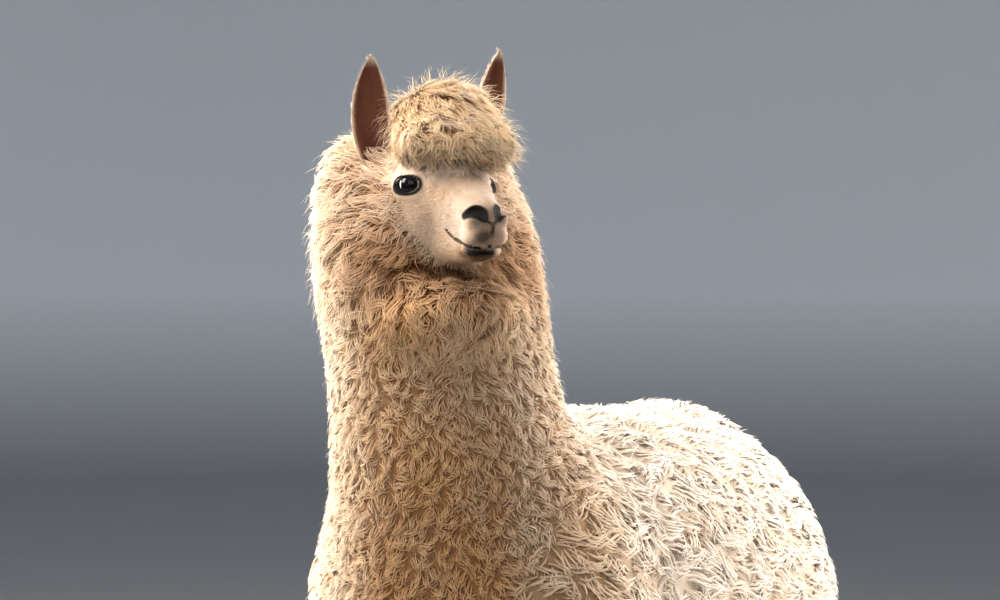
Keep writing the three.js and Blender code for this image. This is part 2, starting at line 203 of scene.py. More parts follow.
def topknot(h):
    d = smin(ell(h, (-22, 7, 80), (78, 79, 64)), ell(h, (46, 22, 50), (52, 55, 38)), 40)
    return smin(d, ell(h, (26, -32, 54), (48, 46, 33)), 30)


def ruff(h):
    q = h.copy()
    q[:, 1] = np.abs(q[:, 1] - 4)
    d = smin(ell(q, (-136, 82, -50), (74, 68, 105)), ell(q, (-136, 84, 20), (60, 50, 62)), 40)
    return smin(d, ell(h, (-28, 4, -184), (92, 104, 64)), 60)     # bib under the jaw


EAR = {1: dict(base=(-78, 70, 22), tip=(-56, 112, 188), face=(0.93, 0.30, 0.0)),
       -1: dict(base=(-78, -73, 22), tip=(-58, -80, 182), face=(0.93, -0.25, 0.0))}


def ear_frame(side):
    b, t, n = (np.array(EAR[side][k], float) for k in ("base", "tip", "face"))
    L = np.linalg.norm(t - b)
    a = (t - b) / L
    n = unit(n - (n @ a) * a)
    return b, a, n, np.cross(a, n) * side, L


def ear_coords(h, side):
    b, a, n, w, L = ear_frame(side)
    q = h - b
    return q @ a / L, q @ w, q @ n, L


def ear(h, side, thin=0.0):
    t, x, z, L = ear_coords(h, side)
    tc = np.clip(t, 0, 1.0)
    x = x - 20 * tc * (1 - tc)
    up = np.clip((tc - 0.40) / 0.60, 0, 1)
    dn = np.clip((0.40 - tc) / 0.52, 0, 1)
    hw = 28.0 * (1 - up ** 2.2) ** 0.9 * (1 - dn ** 2) ** 0.8 + 0.8
    cup = 0.5 * hw
    mid = cup * ((x / hw) ** 2 - 1) + 4
    th = 9.0 - 3.5 * tc
    d1 = np.abs(z - mid) / np.sqrt(1 + (2 * cup * x / hw ** 2) ** 2) - th * 0.5
    d2 = (np.abs(x) - hw) * 0.8
    d3 = np.maximum(t - 1.0, -0.10 - t) * L
    return smax(smax(d1, d2, 3), d3, 3) - thin


# the fold under the jowls, seen from in front: across and up, with how strong it is
FOLD = line([(-150, 0, -88, -6), (-128, 0, -98, -4), (-110, 0, -108, -1), (-88, 0, -116, 2), (-72, 0, -120, 3), (-54.6, 0, -116, 3.5),
             (-40.3, 0, -115, 3.5), (-20.2, 0, -121, 3.5), (0, 0, -119, 3), (13, 0, -128, 1.5), (18, 0, -140, 0)], 2)


def fold(h):
    """how far into the fold under the jowls, 0 to 1"""
    out = np.zeros(len(h))
    k = (h[:, 2] < -60) & (h[:, 2] > -160) & (h[:, 0] > -110)
    if k.any():
        x, y, z = h[k].T
        q = np.stack([0.407 * x + 0.914 * y, 0 * x, z], 1)
        out[k] = step(8.0, -2.0, tube(q, FOLD, 2)) * step(-60, -15, 0.914 * x - 0.407 * y)
    return out


REGIONS = ("trunk", "fore", "hind", "neck", "foot", "tail", "face", "topknot", "ruff")


def where(mask, f, p, far=400.0):
    """f only at the points of the mask, far elsewhere"""
    if mask.all():
        return f(p)
    out = np.full(len(p), far)
    if mask.any():
        out[mask] = f(p[mask])
    return out


def regions(p):
    """distance to each region's own shape, mm, each worked out only where it can matter"""
    q = mirror(p)
    y, z = p[:, 1], p[:, 2]
    low, up = z < 1190, z > 930
    r = dict(trunk=where(low, trunk, p), fore=where((z < 680) & (y < 0), lambda v: tube(v, FORE, 22), q),
             hind=where((z < 720) & (y > 60), lambda v: tube(v, HIND, 22), q),
             neck=where((z > 330) & (y < 220), neck, p),
             foot=where(z < 170, lambda v: np.minimum(foot(v, 111, -302), foot(v, 117, 396)), q),
             tail=where((y > 330) & (z > 450), lambda v: tube(v, TAIL, 12), p))
    h = to_head(p)
    for name, f in (("face", face), ("topknot", topknot), ("ruff", ruff)):
        r[name] = where(up, f, h, 400.0 if name == "ruff" else 900.0)
    return r


def joined(r):
    d = smin(r["trunk"], r["fore"], 70)
    d = smin(d, r["hind"], 80)
    d = smin(d, r["neck"], 90)
    d = smin(d, r["foot"], 10)
    d = smin(d, r["tail"], 30)
    d = smin(d, smin(smin(r["face"], r["topknot"], 22), r["ruff"], 14), 26)
    return d


def outline(p):
    """the coat's outline without the ears"""
    return joined(regions(p))


DEEP, SHORT = 13.0, 1.6


def depth(p, r):
    """how far the skin lies under the coat's outline"""
    leg = np.interp(p[:, 2], [0, 68, 84, 130, 330, 470, 540], [1.2, 1.5, 3.5, 6, 9, 12, DEEP])
    d = np.where(p[:, 2] < 560, leg, DEEP)
    w = step(12, 40, np.minimum(r["trunk"], r["neck"]) - r["tail"])
    d = d * (1 - w) + 12 * w
    d = d + (10.5 - d) * step(-260, -330, p[:, 1]) * step(620, 760, p[:, 2]) * step(1120, 1060, p[:, 2])
    d = d + 3.0 * step(1100, 1170, p[:, 2])
    other = np.minimum(np.minimum(r["topknot"], r["ruff"]), r["neck"])
    w = step(-14, 5, other - r["face"])
    return d * (1 - w) + SHORT * w


def ears(p, thin):
    h = to_head(p)
    return where((p[:, 2] > 1230) & (p[:, 1] < -250), lambda v: np.minimum(ear(v, 1, thin), ear(v, -1, thin)), h)


# ---------------------------------------------------------------- the face under its short coat
NOSTRIL = line([(111, -29.5, -50.5, 3.0), (120, -28, -47.5, 6.2), (129, -21.5, -44.5, 8.4), (137, -14.5, -48.5, 7.6), (142, -10.5, -57, 3.6)], 2)
SEPTUM = line([(141.5, -10, -58.5, 1.7), (144, -4, -63, 1.8), (144, 1, -67, 2.0), (140, 1.5, -76, 2.2), (134, 1.5, -86, 2.4), (128, 1, -93, 2.6)], 2)
MOUTH = line([(58, 34, -68, 1.2), (74, 33, -78.5, 2.4), (90, 30.5, -86, 2.8), (106, 27, -91.5, 2.6), (120, 21.5, -95, 2.7),
              (128, 11, -96.5, 2.7), (130, 0, -96, 2.7)], 2)
MOUTH_SIDE = line([(57, 0, -66.5, 0.9), (63.9, 0, -72.2, 1.3), (75, 0, -79.6, 1.7), (87.1, 0, -84.9, 1.9), (104, 0, -89.6, 2.1), (122.4, 0, -93.6, 2.2)], 2)
LOWER_LIP = line([(92, 23, -95, 3.0), (107, 19.5, -99.5, 4.6), (117, 11, -101.5, 5.2), (120, 0, -102, 5.6)], 2)


def mouth(g):
    """distance to the line of the mouth, which on the cheeks is drawn from the side"""
    k = (g[:, 1] > 9) & (g[:, 0] < 124)
    return np.where(k, tube(g * (1, 0, 1), MOUTH_SIDE, 2), tube(g, MOUTH, 1))


def eye_coords(h, side):
    """arc lengths on the eyeball, in (towards the nose) and up, and distance from its middle"""
    q = h - EYE * (1, side, 1)
    look = LOOK * (1, side, 1)
    inn = np.array([LOOK[1], -LOOK[0] * side, 0])
    rr = np.sqrt((q * q).sum(1)) + 1e-9
    return np.arctan2(q @ inn, q @ look) * 23, np.arcsin(np.clip(q[:, 2] / rr, -1, 1)) * 23, rr


def eye_hole(h, side):
    a, b, rr = eye_coords(h, side)
    k = np.sqrt(((a + 3.5) / 17.4) ** 2 + ((b - 0.9) / 10.4) ** 2)
    return np.maximum((k - 1) * 9.0, 20.3 - rr)


def under_face(d, h, hole=True):
    """folds, nostrils, mouth and eye openings of the face, on the skin's distance d"""
    q = h.copy()
    q[:, 1] = -np.abs(q[:, 1])
    m = q * (1, -1, 1)
    near = (h[:, 0] > 40) & (np.abs(h[:, 1]) < 60) & (h[:, 2] < 0) & (h[:, 2] > -140)
    if near.any():
        e, g, dn = q[near], m[near], d[near]
        lip = tube(g, LOWER_LIP, 3)
        dn = smin(dn, lip, 3.0)
        dn = smax(dn, -np.maximum(mouth(g), -3.4 - dn), 1.6)
        dn = smax(dn, -tube(e, NOSTRIL, 2), 2.4)
        dn = smax(dn, -(tube(h[near], SEPTUM, 1)), 2.0)
        dn = smax(dn, -(tube(h[near] * (1, -1, 1), SEPTUM[:4], 1)), 2.0)
        d = d.copy()
        d[near] = dn
    # tear line under the brow and a soft hollow in front of the eye
    d = d + 1.6 * np.exp(-(((q[:, 0] - 30) / 13) ** 2 + ((q[:, 1] + 40) / 16) ** 2 + ((q[:, 2] + 12) / 9) ** 2))
    if hole:
        for side in (1, -1):
            d = smax(d, -eye_hole(h, side), 1.2)
    return d


def skin_parts(p, hole=True):
    r = regions(p)
    h = to_head(p)
    deep = depth(p, r)
    if p[:, 2].max() < 930:
        return joined(r) + deep, r, h, deep
    near = 1 - step(26, 42, np.minimum(np.sqrt(((h - EYE) ** 2).sum(1)), np.sqrt(((h - EYE * (1, -1, 1)) ** 2).sum(1))))
    deep = deep * (1 - near) + SHORT * near
    d = joined(r) + deep + 5.0 * fold(h)
    d = under_face(d, h, hole)
    return d, r, h, deep


def skin(p):
    d = skin_parts(p)[0]
    return smax(d, -p[:, 2], 1.0) if p[:, 2].min() < 60 else d     # flat soles


POOL = ThreadPoolExecutor(4)


def in_chunks(f, p, n=12000):
    """f over the points in chunks that fit the cache, a few at a time"""
    return np.concatenate(list(POOL.map(f, [p[i:i + n] for i in range(0, len(p), n)])))


def gradient(f, p, e=0.5):
    k = np.array([(1, -1, -1), (-1, -1, 1), (-1, 1, -1), (1, 1, 1)], float)
    return unit(sum(c * in_chunks(f, p + c * e)[:, None] for c in k))


def stations(spans):
    """rising grid lines: (up to, step) spans, as many steps as fill whole blocks of 8"""
    out = [spans[0]]
    for to, h in spans[1:]:
        while out[-1] < to:
            prev = out[-1] - out[-2] if len(out) > 1 else h
            out.append(out[-1] + (min(h, prev * 1.25) if h > prev else max(h, prev * 0.8)))
    while (len(out) - 1) % 8:
        out.append(out[-1] + out[-1] - out[-2])
    return np.array(out)


def nets(f, X, Y, Z):
    """Surface nets of f = 0 over the grid lines, worked out only in blocks near the surface. Returns vertices and quads."""
    G = (X, Y, Z)
    nb = [(len(g) - 1) // 8 for g in G]
    n = np.array([len(g) for g in G])
    mid = [0.5 * (g[:-1:8] + g[8::8]) for g in G]
    size = [g[8::8] - g[:-1:8] for g in G]
    C = np.stack(np.meshgrid(*mid, indexing="ij"), -1).reshape(-1, 3)
    S = np.stack(np.meshgrid(*size, indexing="ij"), -1).reshape(-1, 3)
    keep = np.abs(in_chunks(f, C)) < np.sqrt((S * S).sum(1)) * 0.75 + 3
    blocks = np.stack(np.unravel_index(np.nonzero(keep)[0], nb), 1)
    cell = np.stack(np.meshgrid(*[np.arange(9)] * 3, indexing="ij"), -1).reshape(-1, 3)
    flat = np.unique(np.ravel_multi_index((blocks[:, None, :] * 8 + cell[None]).reshape(-1, 3).T, n))
    I = np.stack(np.unravel_index(flat, n), 1)
    val = np.full(n, np.nan, np.float32)
    val.reshape(-1)[flat] = in_chunks(f, np.stack([G[i][I[:, i]] for i in range(3)], 1))
    inside, known, m = val < 0, ~np.isnan(val), n - 1
    c8, k8 = np.zeros(m, np.int8), np.ones(m, bool)
    corners = [(a, b, c) for a in (0, 1) for b in (0, 1) for c in (0, 1)]
    for o in corners:
        sl = tuple(slice(o[i], o[i] + m[i]) for i in range(3))
        c8 += inside[sl]
        k8 &= known[sl]
    act = (c8 > 0) & (c8 < 8) & k8
    cells = np.stack(np.nonzero(act), 1)
    num = np.full(m, -1, np.int32)
    num[act] = np.arange(len(cells))
    acc, cnt = np.zeros((len(cells), 3)), np.zeros(len(cells))
    at = lambda o: val[cells[:, 0] + o[0], cells[:, 1] + o[1], cells[:, 2] + o[2]].astype(float)
    for a in corners:
        for k in range(3):
            if a[k] == 0:
                b = list(a)
                b[k] = 1
                va, vb = at(a), at(b)
                cr = (va < 0) != (vb < 0)
                t = np.where(cr, va / np.where(cr, va - vb, 1), 0)
                for j in range(3):
                    acc[:, j] += np.where(cr, a[j] + (t if j == k else 0), 0)
                cnt += cr
    W = cells + acc / cnt[:, None]
    V = np.stack([np.interp(W[:, i], np.arange(n[i]), G[i]) for i in range(3)], 1)
    Q = []
    for k in range(3):
        lo, hi = [slice(None)] * 3, [slice(None)] * 3
        lo[k], hi[k] = slice(0, -1), slice(1, None)
        A, B = inside[tuple(lo)], inside[tuple(hi)]
        e = np.stack(np.nonzero((A != B) & known[tuple(lo)] & known[tuple(hi)]), 1)
        u, w = (k + 1) % 3, (k + 2) % 3
        e = e[(e[:, u] > 0) & (e[:, w] > 0) & (e[:, u] < m[u]) & (e[:, w] < m[w]) & (e[:, k] < m[k])]
        out = A[tuple(e.T)]
        du, dw = np.zeros(3, int), np.zeros(3, int)
        du[u], dw[w] = 1, 1
        q = np.stack([num[tuple((e - du - dw).T)], num[tuple((e - dw).T)], num[tuple(e.T)], num[tuple((e - du).T)]], 1)
        q[~out] = q[~out][:, ::-1]
        Q.append(q[(q >= 0).all(1)])
    return V, np.concatenate(Q)


FINE = 1.8
BODY = 9.0
X = stations([-330, (-10, BODY), (90, FINE * 1.6), (210, FINE), (330, BODY)])
Y = stations([-640, (-598, BODY), (-465, FINE), (-345, FINE * 1.6), (640, BODY)])
Z = stations([-30, (100, BODY * 0.6), (1150, BODY), (1172, BODY * 0.5), (1320, FINE), (1500, FINE * 1.7)])
SKIN_V, SKIN_Q = nets(skin, X, Y, Z)
for _ in range(2):      # onto the surface itself
    g = gradient(skin, SKIN_V, 0.3)
    d = in_chunks(skin, SKIN_V)
    SKIN_V = SKIN_V - g * np.clip(d, -1.0, 1.0)[:, None] * 0.8
SKIN_V[:, 2] = np.where(SKIN_V[:, 2] < 1.2, np.maximum(SKIN_V[:, 2], 0.0), SKIN_V[:, 2])


def facing_out(V, Q):
    """the faces of a closed mesh, turned round if they face in"""
    c = V.mean(0)
    a, b, d = (V[Q[:, i]] - c for i in range(3))
    vol = (np.cross(a, b) * d).sum()
    if Q.shape[1] == 4:
        a, b, d = (V[Q[:, i]] - c for i in (0, 2, 3))
        vol += (np.cross(a, b) * d).sum()
    if vol > 0:
        return Q
    if Q.shape[1] == 3:
        return Q[:, ::-1]
    tri = Q[:, 2] == Q[:, 3]
    R = Q[:, ::-1].copy()
    R[tri] = Q[tri][:, [1, 0, 2, 2]]
    return R


def ear_shell(side):
    """the ear's skin as one closed shell, its stalk sunk in the head"""
    b, a, n, w, L = ear_frame(side)
    rows, m = 44, 15
    t = np.concatenate([np.linspace(-0.10, 0.86, rows - 12), 1 - 0.14 * (1 - np.linspace(0, 1, 13)[1:]) ** 1.6])
    v = np.sin(np.linspace(-1, 1, m) * pi / 2)
    V = []
    for tt in t:
        tc = min(max(tt, 0), 1)
        up, dn = max((tc - 0.40) / 0.60, 0), max((0.40 - tc) / 0.52, 0)
        hw = 28.0 * (1 - min(up, 1) ** 2.2) ** 0.9 * (1 - dn ** 2) ** 0.8 + 0.8 - 1.2
        hw = max(hw, 0.5)
        full = 28.0 * (1 - min(up, 1) ** 2.2) ** 0.9 * (1 - dn ** 2) ** 0.8 + 0.8
        half = max((9.0 - 3.5 * tc) / 2 - 1.5, 0.9) * min(1.0, hw / 5)
        loop = []
        for sg, vv in ((1, v), (-1, v[::-1][1:-1])):
            z = 0.5 * full * (vv ** 2 - 1) + 4 + sg * half * (1 - np.abs(vv) ** 5) ** 0.5
            z = z - (0.9 * np.exp(-((vv - 0.35) / 0.12) ** 2) + 0.9 * np.exp(-((vv + 0.3) / 0.12) ** 2)) * (sg > 0) * step(0.95, 0.3, np.full(len(vv), tc))
            loop.append(b + a * tt * L + np.outer(vv * hw + 20 * tc * (1 - tc), w) + np.outer(z, n))
        V.append(np.concatenate(loop))
    k = len(V[0])
    i = np.arange(k)
    Q = np.concatenate([np.stack([j * k + i, j * k + (i + 1) % k, (j + 1) * k + (i + 1) % k, (j + 1) * k + i], 1)[:, ::side] for j in range(len(t) - 1)])
    V = np.concatenate(V + [[V[0].mean(0)], [V[-1].mean(0)]])
    last = (len(t) - 1) * k
    T = np.concatenate([np.stack([np.full(k, len(V) - 2), (i + 1) % k, i], 1)[:, ::side],
                        np.stack([np.full(k, len(V) - 1), last + i, last + (i + 1) % k], 1)[:, ::side]])
    V = from_head(V)
    return V, facing_out(V, np.concatenate([Q, np.concatenate([T, T[:, -1:]], 1)]))


HEAD_QUADS = len(SKIN_Q)
for side in (1, -1):
    v, q = ear_shell(side)
    SKIN_Q = np.concatenate([SKIN_Q, q + len(SKIN_V)])
    SKIN_V = np.concatenate([SKIN_V, v])
print("skin", len(SKIN_V), len(SKIN_Q))


# ---------------------------------------------------------------- markings and painted light and shade, linear colours, shared by skin and coat
CREAM, FACE, TAN = (0.80, 0.67, 0.52), (0.52, 0.385, 0.285), (0.36, 0.19, 0.092)
GOLD, WHITE, GREY = (0.98, 0.70, 0.43), (0.88, 0.79, 0.69), (0.16, 0.115, 0.09)
NECK_TAN_AND_SHADE, BIB_SHADE, RUFF = (0.70, 0.43, 0.215), (0.54, 0.325, 0.18), (0.80, 0.60, 0.43)
PALE = (0.62, 0.53, 0.445)
BLACK, PINK, HORN = (0.007, 0.006, 0.006), (0.56, 0.36, 0.28), (0.05, 0.042, 0.038)
EAR_SKIN, DUST = (0.125, 0.048, 0.030), (0.62, 0.50, 0.37)


def mix(a, b, w):
    a, b = np.asarray(a, float), np.asarray(b, float)
    return a + (b - a) * w[:, None]


def lumps(p, size, seed=0):
    """smooth noise, about -1 to 1, from turned sine waves"""
    rng = np.random.default_rng(100 + seed)
    out = np.zeros(len(p))
    for i in range(7):
        k = unit(rng.normal(size=3)) * 2 * pi / (size * rng.uniform(0.7, 1.6))
        out += np.sin(p @ k + rng.uniform(0, 6.28) + 1.3 * np.sin(p @ (k[[1, 2, 0]] * 0.7)))
    return out / 3.2


def blob(h, c, r):
    return np.exp(-((((h - np.asarray(c, float)) / np.asarray(r, float)) ** 2).sum(1)))


def paint(p, h, r):
    """colour of the coat's tips at p, painted light and shade included, and how wet or bare the place is"""
    near_face = step(26, 0, r["face"] - np.minimum(np.minimum(r["topknot"], r["ruff"]), r["neck"]))
    up = np.clip((p[:, 2] - 500) / 450, 0, 1)
    col = mix(CREAM, WHITE, step(-330, -120, p[:, 1]) * (0.72 + 0.28 * up))
    col = mix(col, DUST, 0.55 * step(420, 60, p[:, 2]))
    col = mix(col, RUFF, 0.30 * np.clip(lumps(p, 140, 1), 0, 1))
    # front of the neck: tan fleece darkened as painted shade, and darker still low down as more painted shade
    tan = step(-230, -380, p[:, 1]) * step(520, 700, p[:, 2]) * step(1240, 1120, p[:, 2])
    col = mix(col, NECK_TAN_AND_SHADE, tan * np.clip(0.90 + 0.16 * lumps(p, 120, 3), 0, 1))
    col = mix(col, TAN, 0.38 * tan * step(960, 800, p[:, 2]) * step(-330, -420, p[:, 1]))
    col = mix(col, RUFF, 0.45 * tan * blob(np.stack([p[:, 2]], 1), (1010,), (75,)))
    # painted rim light: cream on the neck's sides to the left and right of the view
    across = 0.83 * p[:, 0] + 0.56 * (p[:, 1] + 380) + 10 * lumps(p, 70, 14)
    col = mix(col, CREAM, tan * np.maximum(0.85 * step(-62, -130, across), 0.55 * step(88, 140, across)))
    high = step(1080, 1180, p[:, 2] + 12 * lumps(p, 60, 4))
    # painted shade on the bib under the jaw, and painted light on the back of the ruff
    col = mix(col, mix(RUFF, BIB_SHADE, 0.95 * step(-130, -30, h[:, 0]) * step(-25, -90, h[:, 2])), high)
    col = mix(col, CREAM, 0.5 * high * step(-60, -130, h[:, 0]))
    col = mix(col, TAN, 0.40 * high * np.clip(lumps(p, 40, 7), 0, 1) * step(-150, -60, h[:, 0]))
    top = step(18, -6, r["topknot"] - np.minimum(r["ruff"], r["face"] + 14))
    col = mix(col, mix(GOLD, WHITE, 0.45 * np.clip(lumps(p, 30, 8), 0, 1)), 0.92 * top)
    col = mix(col, TAN, 0.28 * top * step(46, 20, h[:, 2]) + 0.25 * top * np.clip(lumps(p, 24, 9), 0, 1))
    m = h.copy()
    m[:, 1] = -np.abs(h[:, 1])
    fc = np.tile(FACE, (len(p), 1))
    fc = mix(fc, PALE, 0.70 * np.clip(blob(h, (98, 0, -34), (34, 34, 20)) + blob(m, (104, -34, -66), (26, 20, 24)) + 0.7 * blob(m, (70, -42, -64), (30, 20, 18)), 0, 1))
    # painted light: the forehead lightened to offset the shadow of the topknot and fringe over it
    fc = mix(fc, (0.95, 0.76, 0.60), 0.92 * step(-10, 12, h[:, 2] + 4 * lumps(p, 26, 6)) * step(78, 50, h[:, 0]))
    fc = mix(fc, GOLD, 0.45 * np.clip(blob(m, (60, -30, -104), (46, 30, 16)) + blob(h, (108, 0, -108), (24, 30, 12)), 0, 1))
    fc = mix(fc, TAN, 0.30 * np.clip(blob(m, (30, -46, 12), (16, 16, 12)) + blob(m, (52, -40, -22), (20, 14, 10)), 0, 1))
    fc = mix(fc, TAN, 0.25 * np.clip(lumps(p, 34, 2), 0, 1))
    nose = np.clip(blob(m, (141, -6, -50), (15, 14, 15)) * 1.2 + 0.9 * blob(m, (136, -20, -60), (9, 9, 7)), 0, 1)
    fc = mix(fc, GREY, 0.85 * nose)
    lip = np.clip(1.5 * blob(h, (137, -10, -81), (15, 12.5, 9.5)) + 0.5 * blob(h, (120, -26, -89), (16, 9, 5)), 0, 1)
    fc = mix(fc, (0.085, 0.058, 0.046), 0.92 * lip)
    # the chin's own brown, darkened further as painted shade under the mouth
    fc = mix(fc, (0.11, 0.045, 0.014), 0.96 * np.clip(1.3 * blob(h, (112, -6, -108), (26, 24, 9)) + 0.8 * blob(m, (90, -20, -102), (16, 14, 8)), 0, 1))
    fc = mix(fc, PINK, 0.75 * np.clip(1.2 * blob(h, (138, 14, -82), (11, 9, 10)), 0, 1))
    dark = np.zeros(len(p))
    wet = np.zeros(len(p))
    k = (r["face"] < 14) & (h[:, 0] > 50)
    if k.any():
        n, mo = tube(m[k], NOSTRIL, 2), mouth(m[k] * (1, -1, 1))
        se = np.minimum(tube(h[k], SEPTUM, 1), tube(h[k] * (1, -1, 1), SEPTUM[:4], 1))
        lo = tube(m[k] * (1, -1, 1), LOWER_LIP, 3)
        front = step(84, 112, h[k, 0])
        # painted shade: the nostril openings, the groove under the nose and the mouth's line black; the lower lip its
        # own dark skin, darkened further as painted shade
        dk = np.maximum(step(4.2, 1.4, n), step(2.6, 0.4, se))
        dk = np.maximum(dk, step(1.8, 0.2, mo) * (0.75 + 0.25 * front))
        dk = np.maximum(dk, step(4.4, 0.6, lo) * front * step(-108.5, -103.5, h[k, 2]) * step(14, 4, h[k, 1]))
        dark[k], wet[k] = dk, np.maximum(0.22 * dk, 0.25 * nose[k])
    for side in (1, -1):
        a, b, rr = eye_coords(h, side)
        e = np.sqrt(((a + 3.5) / 19.8) ** 2 + ((b - 0.6) / 12.4) ** 2)
        rim = step(1.08, 0.96, e) * (rr < 34)
        dark = np.maximum(dark, 0.93 * rim)
        wet = np.maximum(wet, 0.1 * rim)
        fc = mix(fc, TAN, 0.55 * blob(np.stack([a, b, rr - 24], 1), (24, 4, 0), (9, 6, 12)))
    fc = mix(fc, BLACK, dark)
    col = mix(col, fc, near_face)
    # painted shade in the fold under the jowls and under the chin
    f = np.maximum(fold(h), 0.75 * step(-104, -114, h[:, 2]) * step(16, 40, h[:, 0]) * near_face)
    return col * (1 - f[:, None] * (0.72, 0.80, 0.87)), wet * near_face, near_face


def paint_ear(h, side):
    t, x, z, L = ear_coords(h, side)
    tc = np.clip(t, 0, 1)
    x = x - 20 * tc * (1 - tc)
    up = np.clip((tc - 0.40) / 0.60, 0, 1)
    dn = np.clip((0.40 - tc) / 0.52, 0, 1)
    hw = 28.0 * (1 - up ** 2.2) ** 0.9 * (1 - dn ** 2) ** 0.8 + 0.8
    zz = z - (0.5 * hw * ((x / hw) ** 2 - 1) + 4)
    inner = step(-0.5, 1.5, zz) * step(0.95, 0.72, np.abs(x) / hw) * step(-0.05, 0.12, t) * step(1.0, 0.88, t)
    col = mix(RUFF, PALE, 0.4 * step(0.2, 0.9, t))
    inn = mix(EAR_SKIN, np.array(EAR_SKIN) * (0.42, 0.38, 0.40), step(0.5, 0.05, tc) * step(0.8, 0.2, np.abs(x) / hw))
    return mix(col, inn * 1.0, inner), inner, t, x / hw, zz


# ---------------------------------------------------------------- meshes
def to_metres(p):
    return (np.asarray(p, float) + SHIFT) / 1000


def make(name, V, F, colour=None, normals=None, wet=None, smooth=True, strand=None, bake=None, rnd=None, mat=None):
    """a mesh object from arrays in mm: V (n, 3), F (m, 3 or 4)"""
    me = bpy.data.meshes.new(name)
    V, F = np.asarray(V, float), np.asarray(F, np.int32)
    count = np.full(len(F), F.shape[1], np.int32)
    flat = F.ravel()
    if F.shape[1] == 4:                     # a quad that repeats its last corner is a triangle
        tri = F[:, 2] == F[:, 3]
        count[tri] = 3
        keep = np.ones(F.shape, bool)
        keep[tri, 3] = False
        flat = F[keep]
    me.vertices.add(len(V))
    me.vertices.foreach_set("co", to_metres(V).astype(np.float32).ravel())
    me.loops.add(len(flat))
    me.loops.foreach_set("vertex_index", flat)
    me.polygons.add(len(F))
    me.polygons.foreach_set("loop_start", np.concatenate([[0], np.cumsum(count)[:-1]]).astype(np.int32))
    me.polygons.foreach_set("use_smooth", np.full(len(F), smooth))
    me.update(calc_edges=True)
    if colour is not None:
        a = me.color_attributes.new("Col", "FLOAT_COLOR", "POINT")
        a.data.foreach_set("color", np.concatenate([np.clip(colour, 0, 1), np.ones((len(V), 1))], 1).astype(np.float32).ravel())
    for key, val in (("wet", wet), ("rnd", rnd)):
        if val is not None:
            me.attributes.new(key, "FLOAT", "POINT").data.foreach_set("value", np.asarray(val, np.float32))
    if strand is not None:
        me.uv_layers.new(name="Strand").data.foreach_set("uv", np.asarray(strand, np.float32).ravel())
    if bake is not None:
        me.uv_layers.new(name="OFBake").data.foreach_set("uv", np.asarray(bake, np.float32).ravel())
    if strand is not None:
        me.uv_layers["Strand"].active_render = True
    if normals is not None:
        me.normals_split_custom_set_from_vertices(np.asarray(normals, np.float32))
    ob = bpy.data.objects.new(name, me)
    bpy.context.scene.collection.objects.link(ob)
    if mat:
        me.materials.append(mat)
    return ob


# ---------------------------------------------------------------- eyelids, lashes and eyes
LID_X, LID_UP, LID_DOWN = 17.4, 8.6, 11.4


def almond(n):
    """the lids' edge in arc lengths, inner corner first, anticlockwise"""
    t = np.arange(n) / n * 2 * pi
    c, s = np.cos(t), np.sin(t)
    y = np.where(s > 0, LID_UP * np.abs(s) ** 0.85, -LID_DOWN * np.abs(s) ** 1.05)
    return np.stack([LID_X * c - 3.5, y + 2.4 - 1.9 * c], 1), t


def eye_point(ab, rr, side):
    """from arc lengths and distance to head coordinates"""
    al, be = ab[:, 0] / 23, ab[:, 1] / 23
    look, inn, upv = LOOK * (1, side, 1), np.array([LOOK[1], -LOOK[0] * side, 0]), np.array([0, 0, 1.0])
    d = np.cos(be)[:, None] * (np.cos(al)[:, None] * look + np.sin(al)[:, None] * inn) + np.sin(be)[:, None] * upv
    return EYE * (1, side, 1) + d * np.asarray(rr)[:, None]


def skin_radius(ab, side):
    """distance from the eye's middle to the closed skin over it, that way"""
    lo, hi = np.full(len(ab), 20.0), np.full(len(ab), 46.0)
    for _ in range(18):
        mid = (lo + hi) / 2
        v = skin_parts(from_head(eye_point(ab, mid, side)), hole=False)[0]
        lo, hi = np.where(v < 0, mid, lo), np.where(v < 0, hi, mid)
    return (lo + hi) / 2


def eyelids(side):
    n = 96
    edge, t = almond(n)
    out = unit(np.stack([np.roll(edge, -1, 0)[:, 1] - np.roll(edge, 1, 0)[:, 1],
                         -(np.roll(edge, -1, 0)[:, 0] - np.roll(edge, 1, 0)[:, 0])], 1))
    for _ in range(3):
        out = unit(out + 0.5 * (np.roll(out, 1, 0) + np.roll(out, -1, 0)))
    upper = np.clip(np.sin(t), 0, 1) ** 0.5
    lower = np.clip(-np.sin(t), 0, 1) ** 0.5
    #        outwards, height over the skin of the upper lid, of the lower lid, darkness
    rows = [(-0.5, None, None, 1), (-0.1, None, None, 1), (0.5, 0.5, 0.3, 1), (1.3, 0.95, 0.6, 1), (2.1, 0.9, 0.5, 0.92),
            (2.9, 0.35, 0.2, 0.55), (3.8, -0.15, 0.2, 0.10), (5.0, 0.55, 0.3, 0.04), (6.4, 0.6, 0.1, 0.01), (8.0, 0.2, -0.2, 0), (9.6, -0.9, -0.9, 0)]
    V, C, Wt = [], [], []
    for j, (o, hu, hl, dark) in enumerate(rows):
        ab = edge + out * o
        if hu is None:
            rr = np.full(n, 23.0 + 1.0 * j)
        else:
            w = upper / (upper + lower + 1e-6)
            rr = skin_radius(ab, side) + hl + (hu - hl) * w
            rr = np.maximum(rr, 24.5) if j < 5 else rr
        h = eye_point(ab, rr, side)
        p = from_head(h)
        V.append(p)
        base, _, _ = paint(p, h, regions(p))
        C.append(mix(base, (0.007, 0.0058, 0.006), np.full(n, float(dark))))
        Wt.append(np.full(n, 0.12 * dark))
    m = len(rows)
    i = np.arange(n)
    F = np.concatenate([np.stack([j * n + i, j * n + (i + 1) % n, (j + 1) * n + (i + 1) % n, (j + 1) * n + i], 1)[:, ::side] for j in range(m - 1)])
    return np.concatenate(V), F, np.concatenate(C), np.concatenate(Wt)


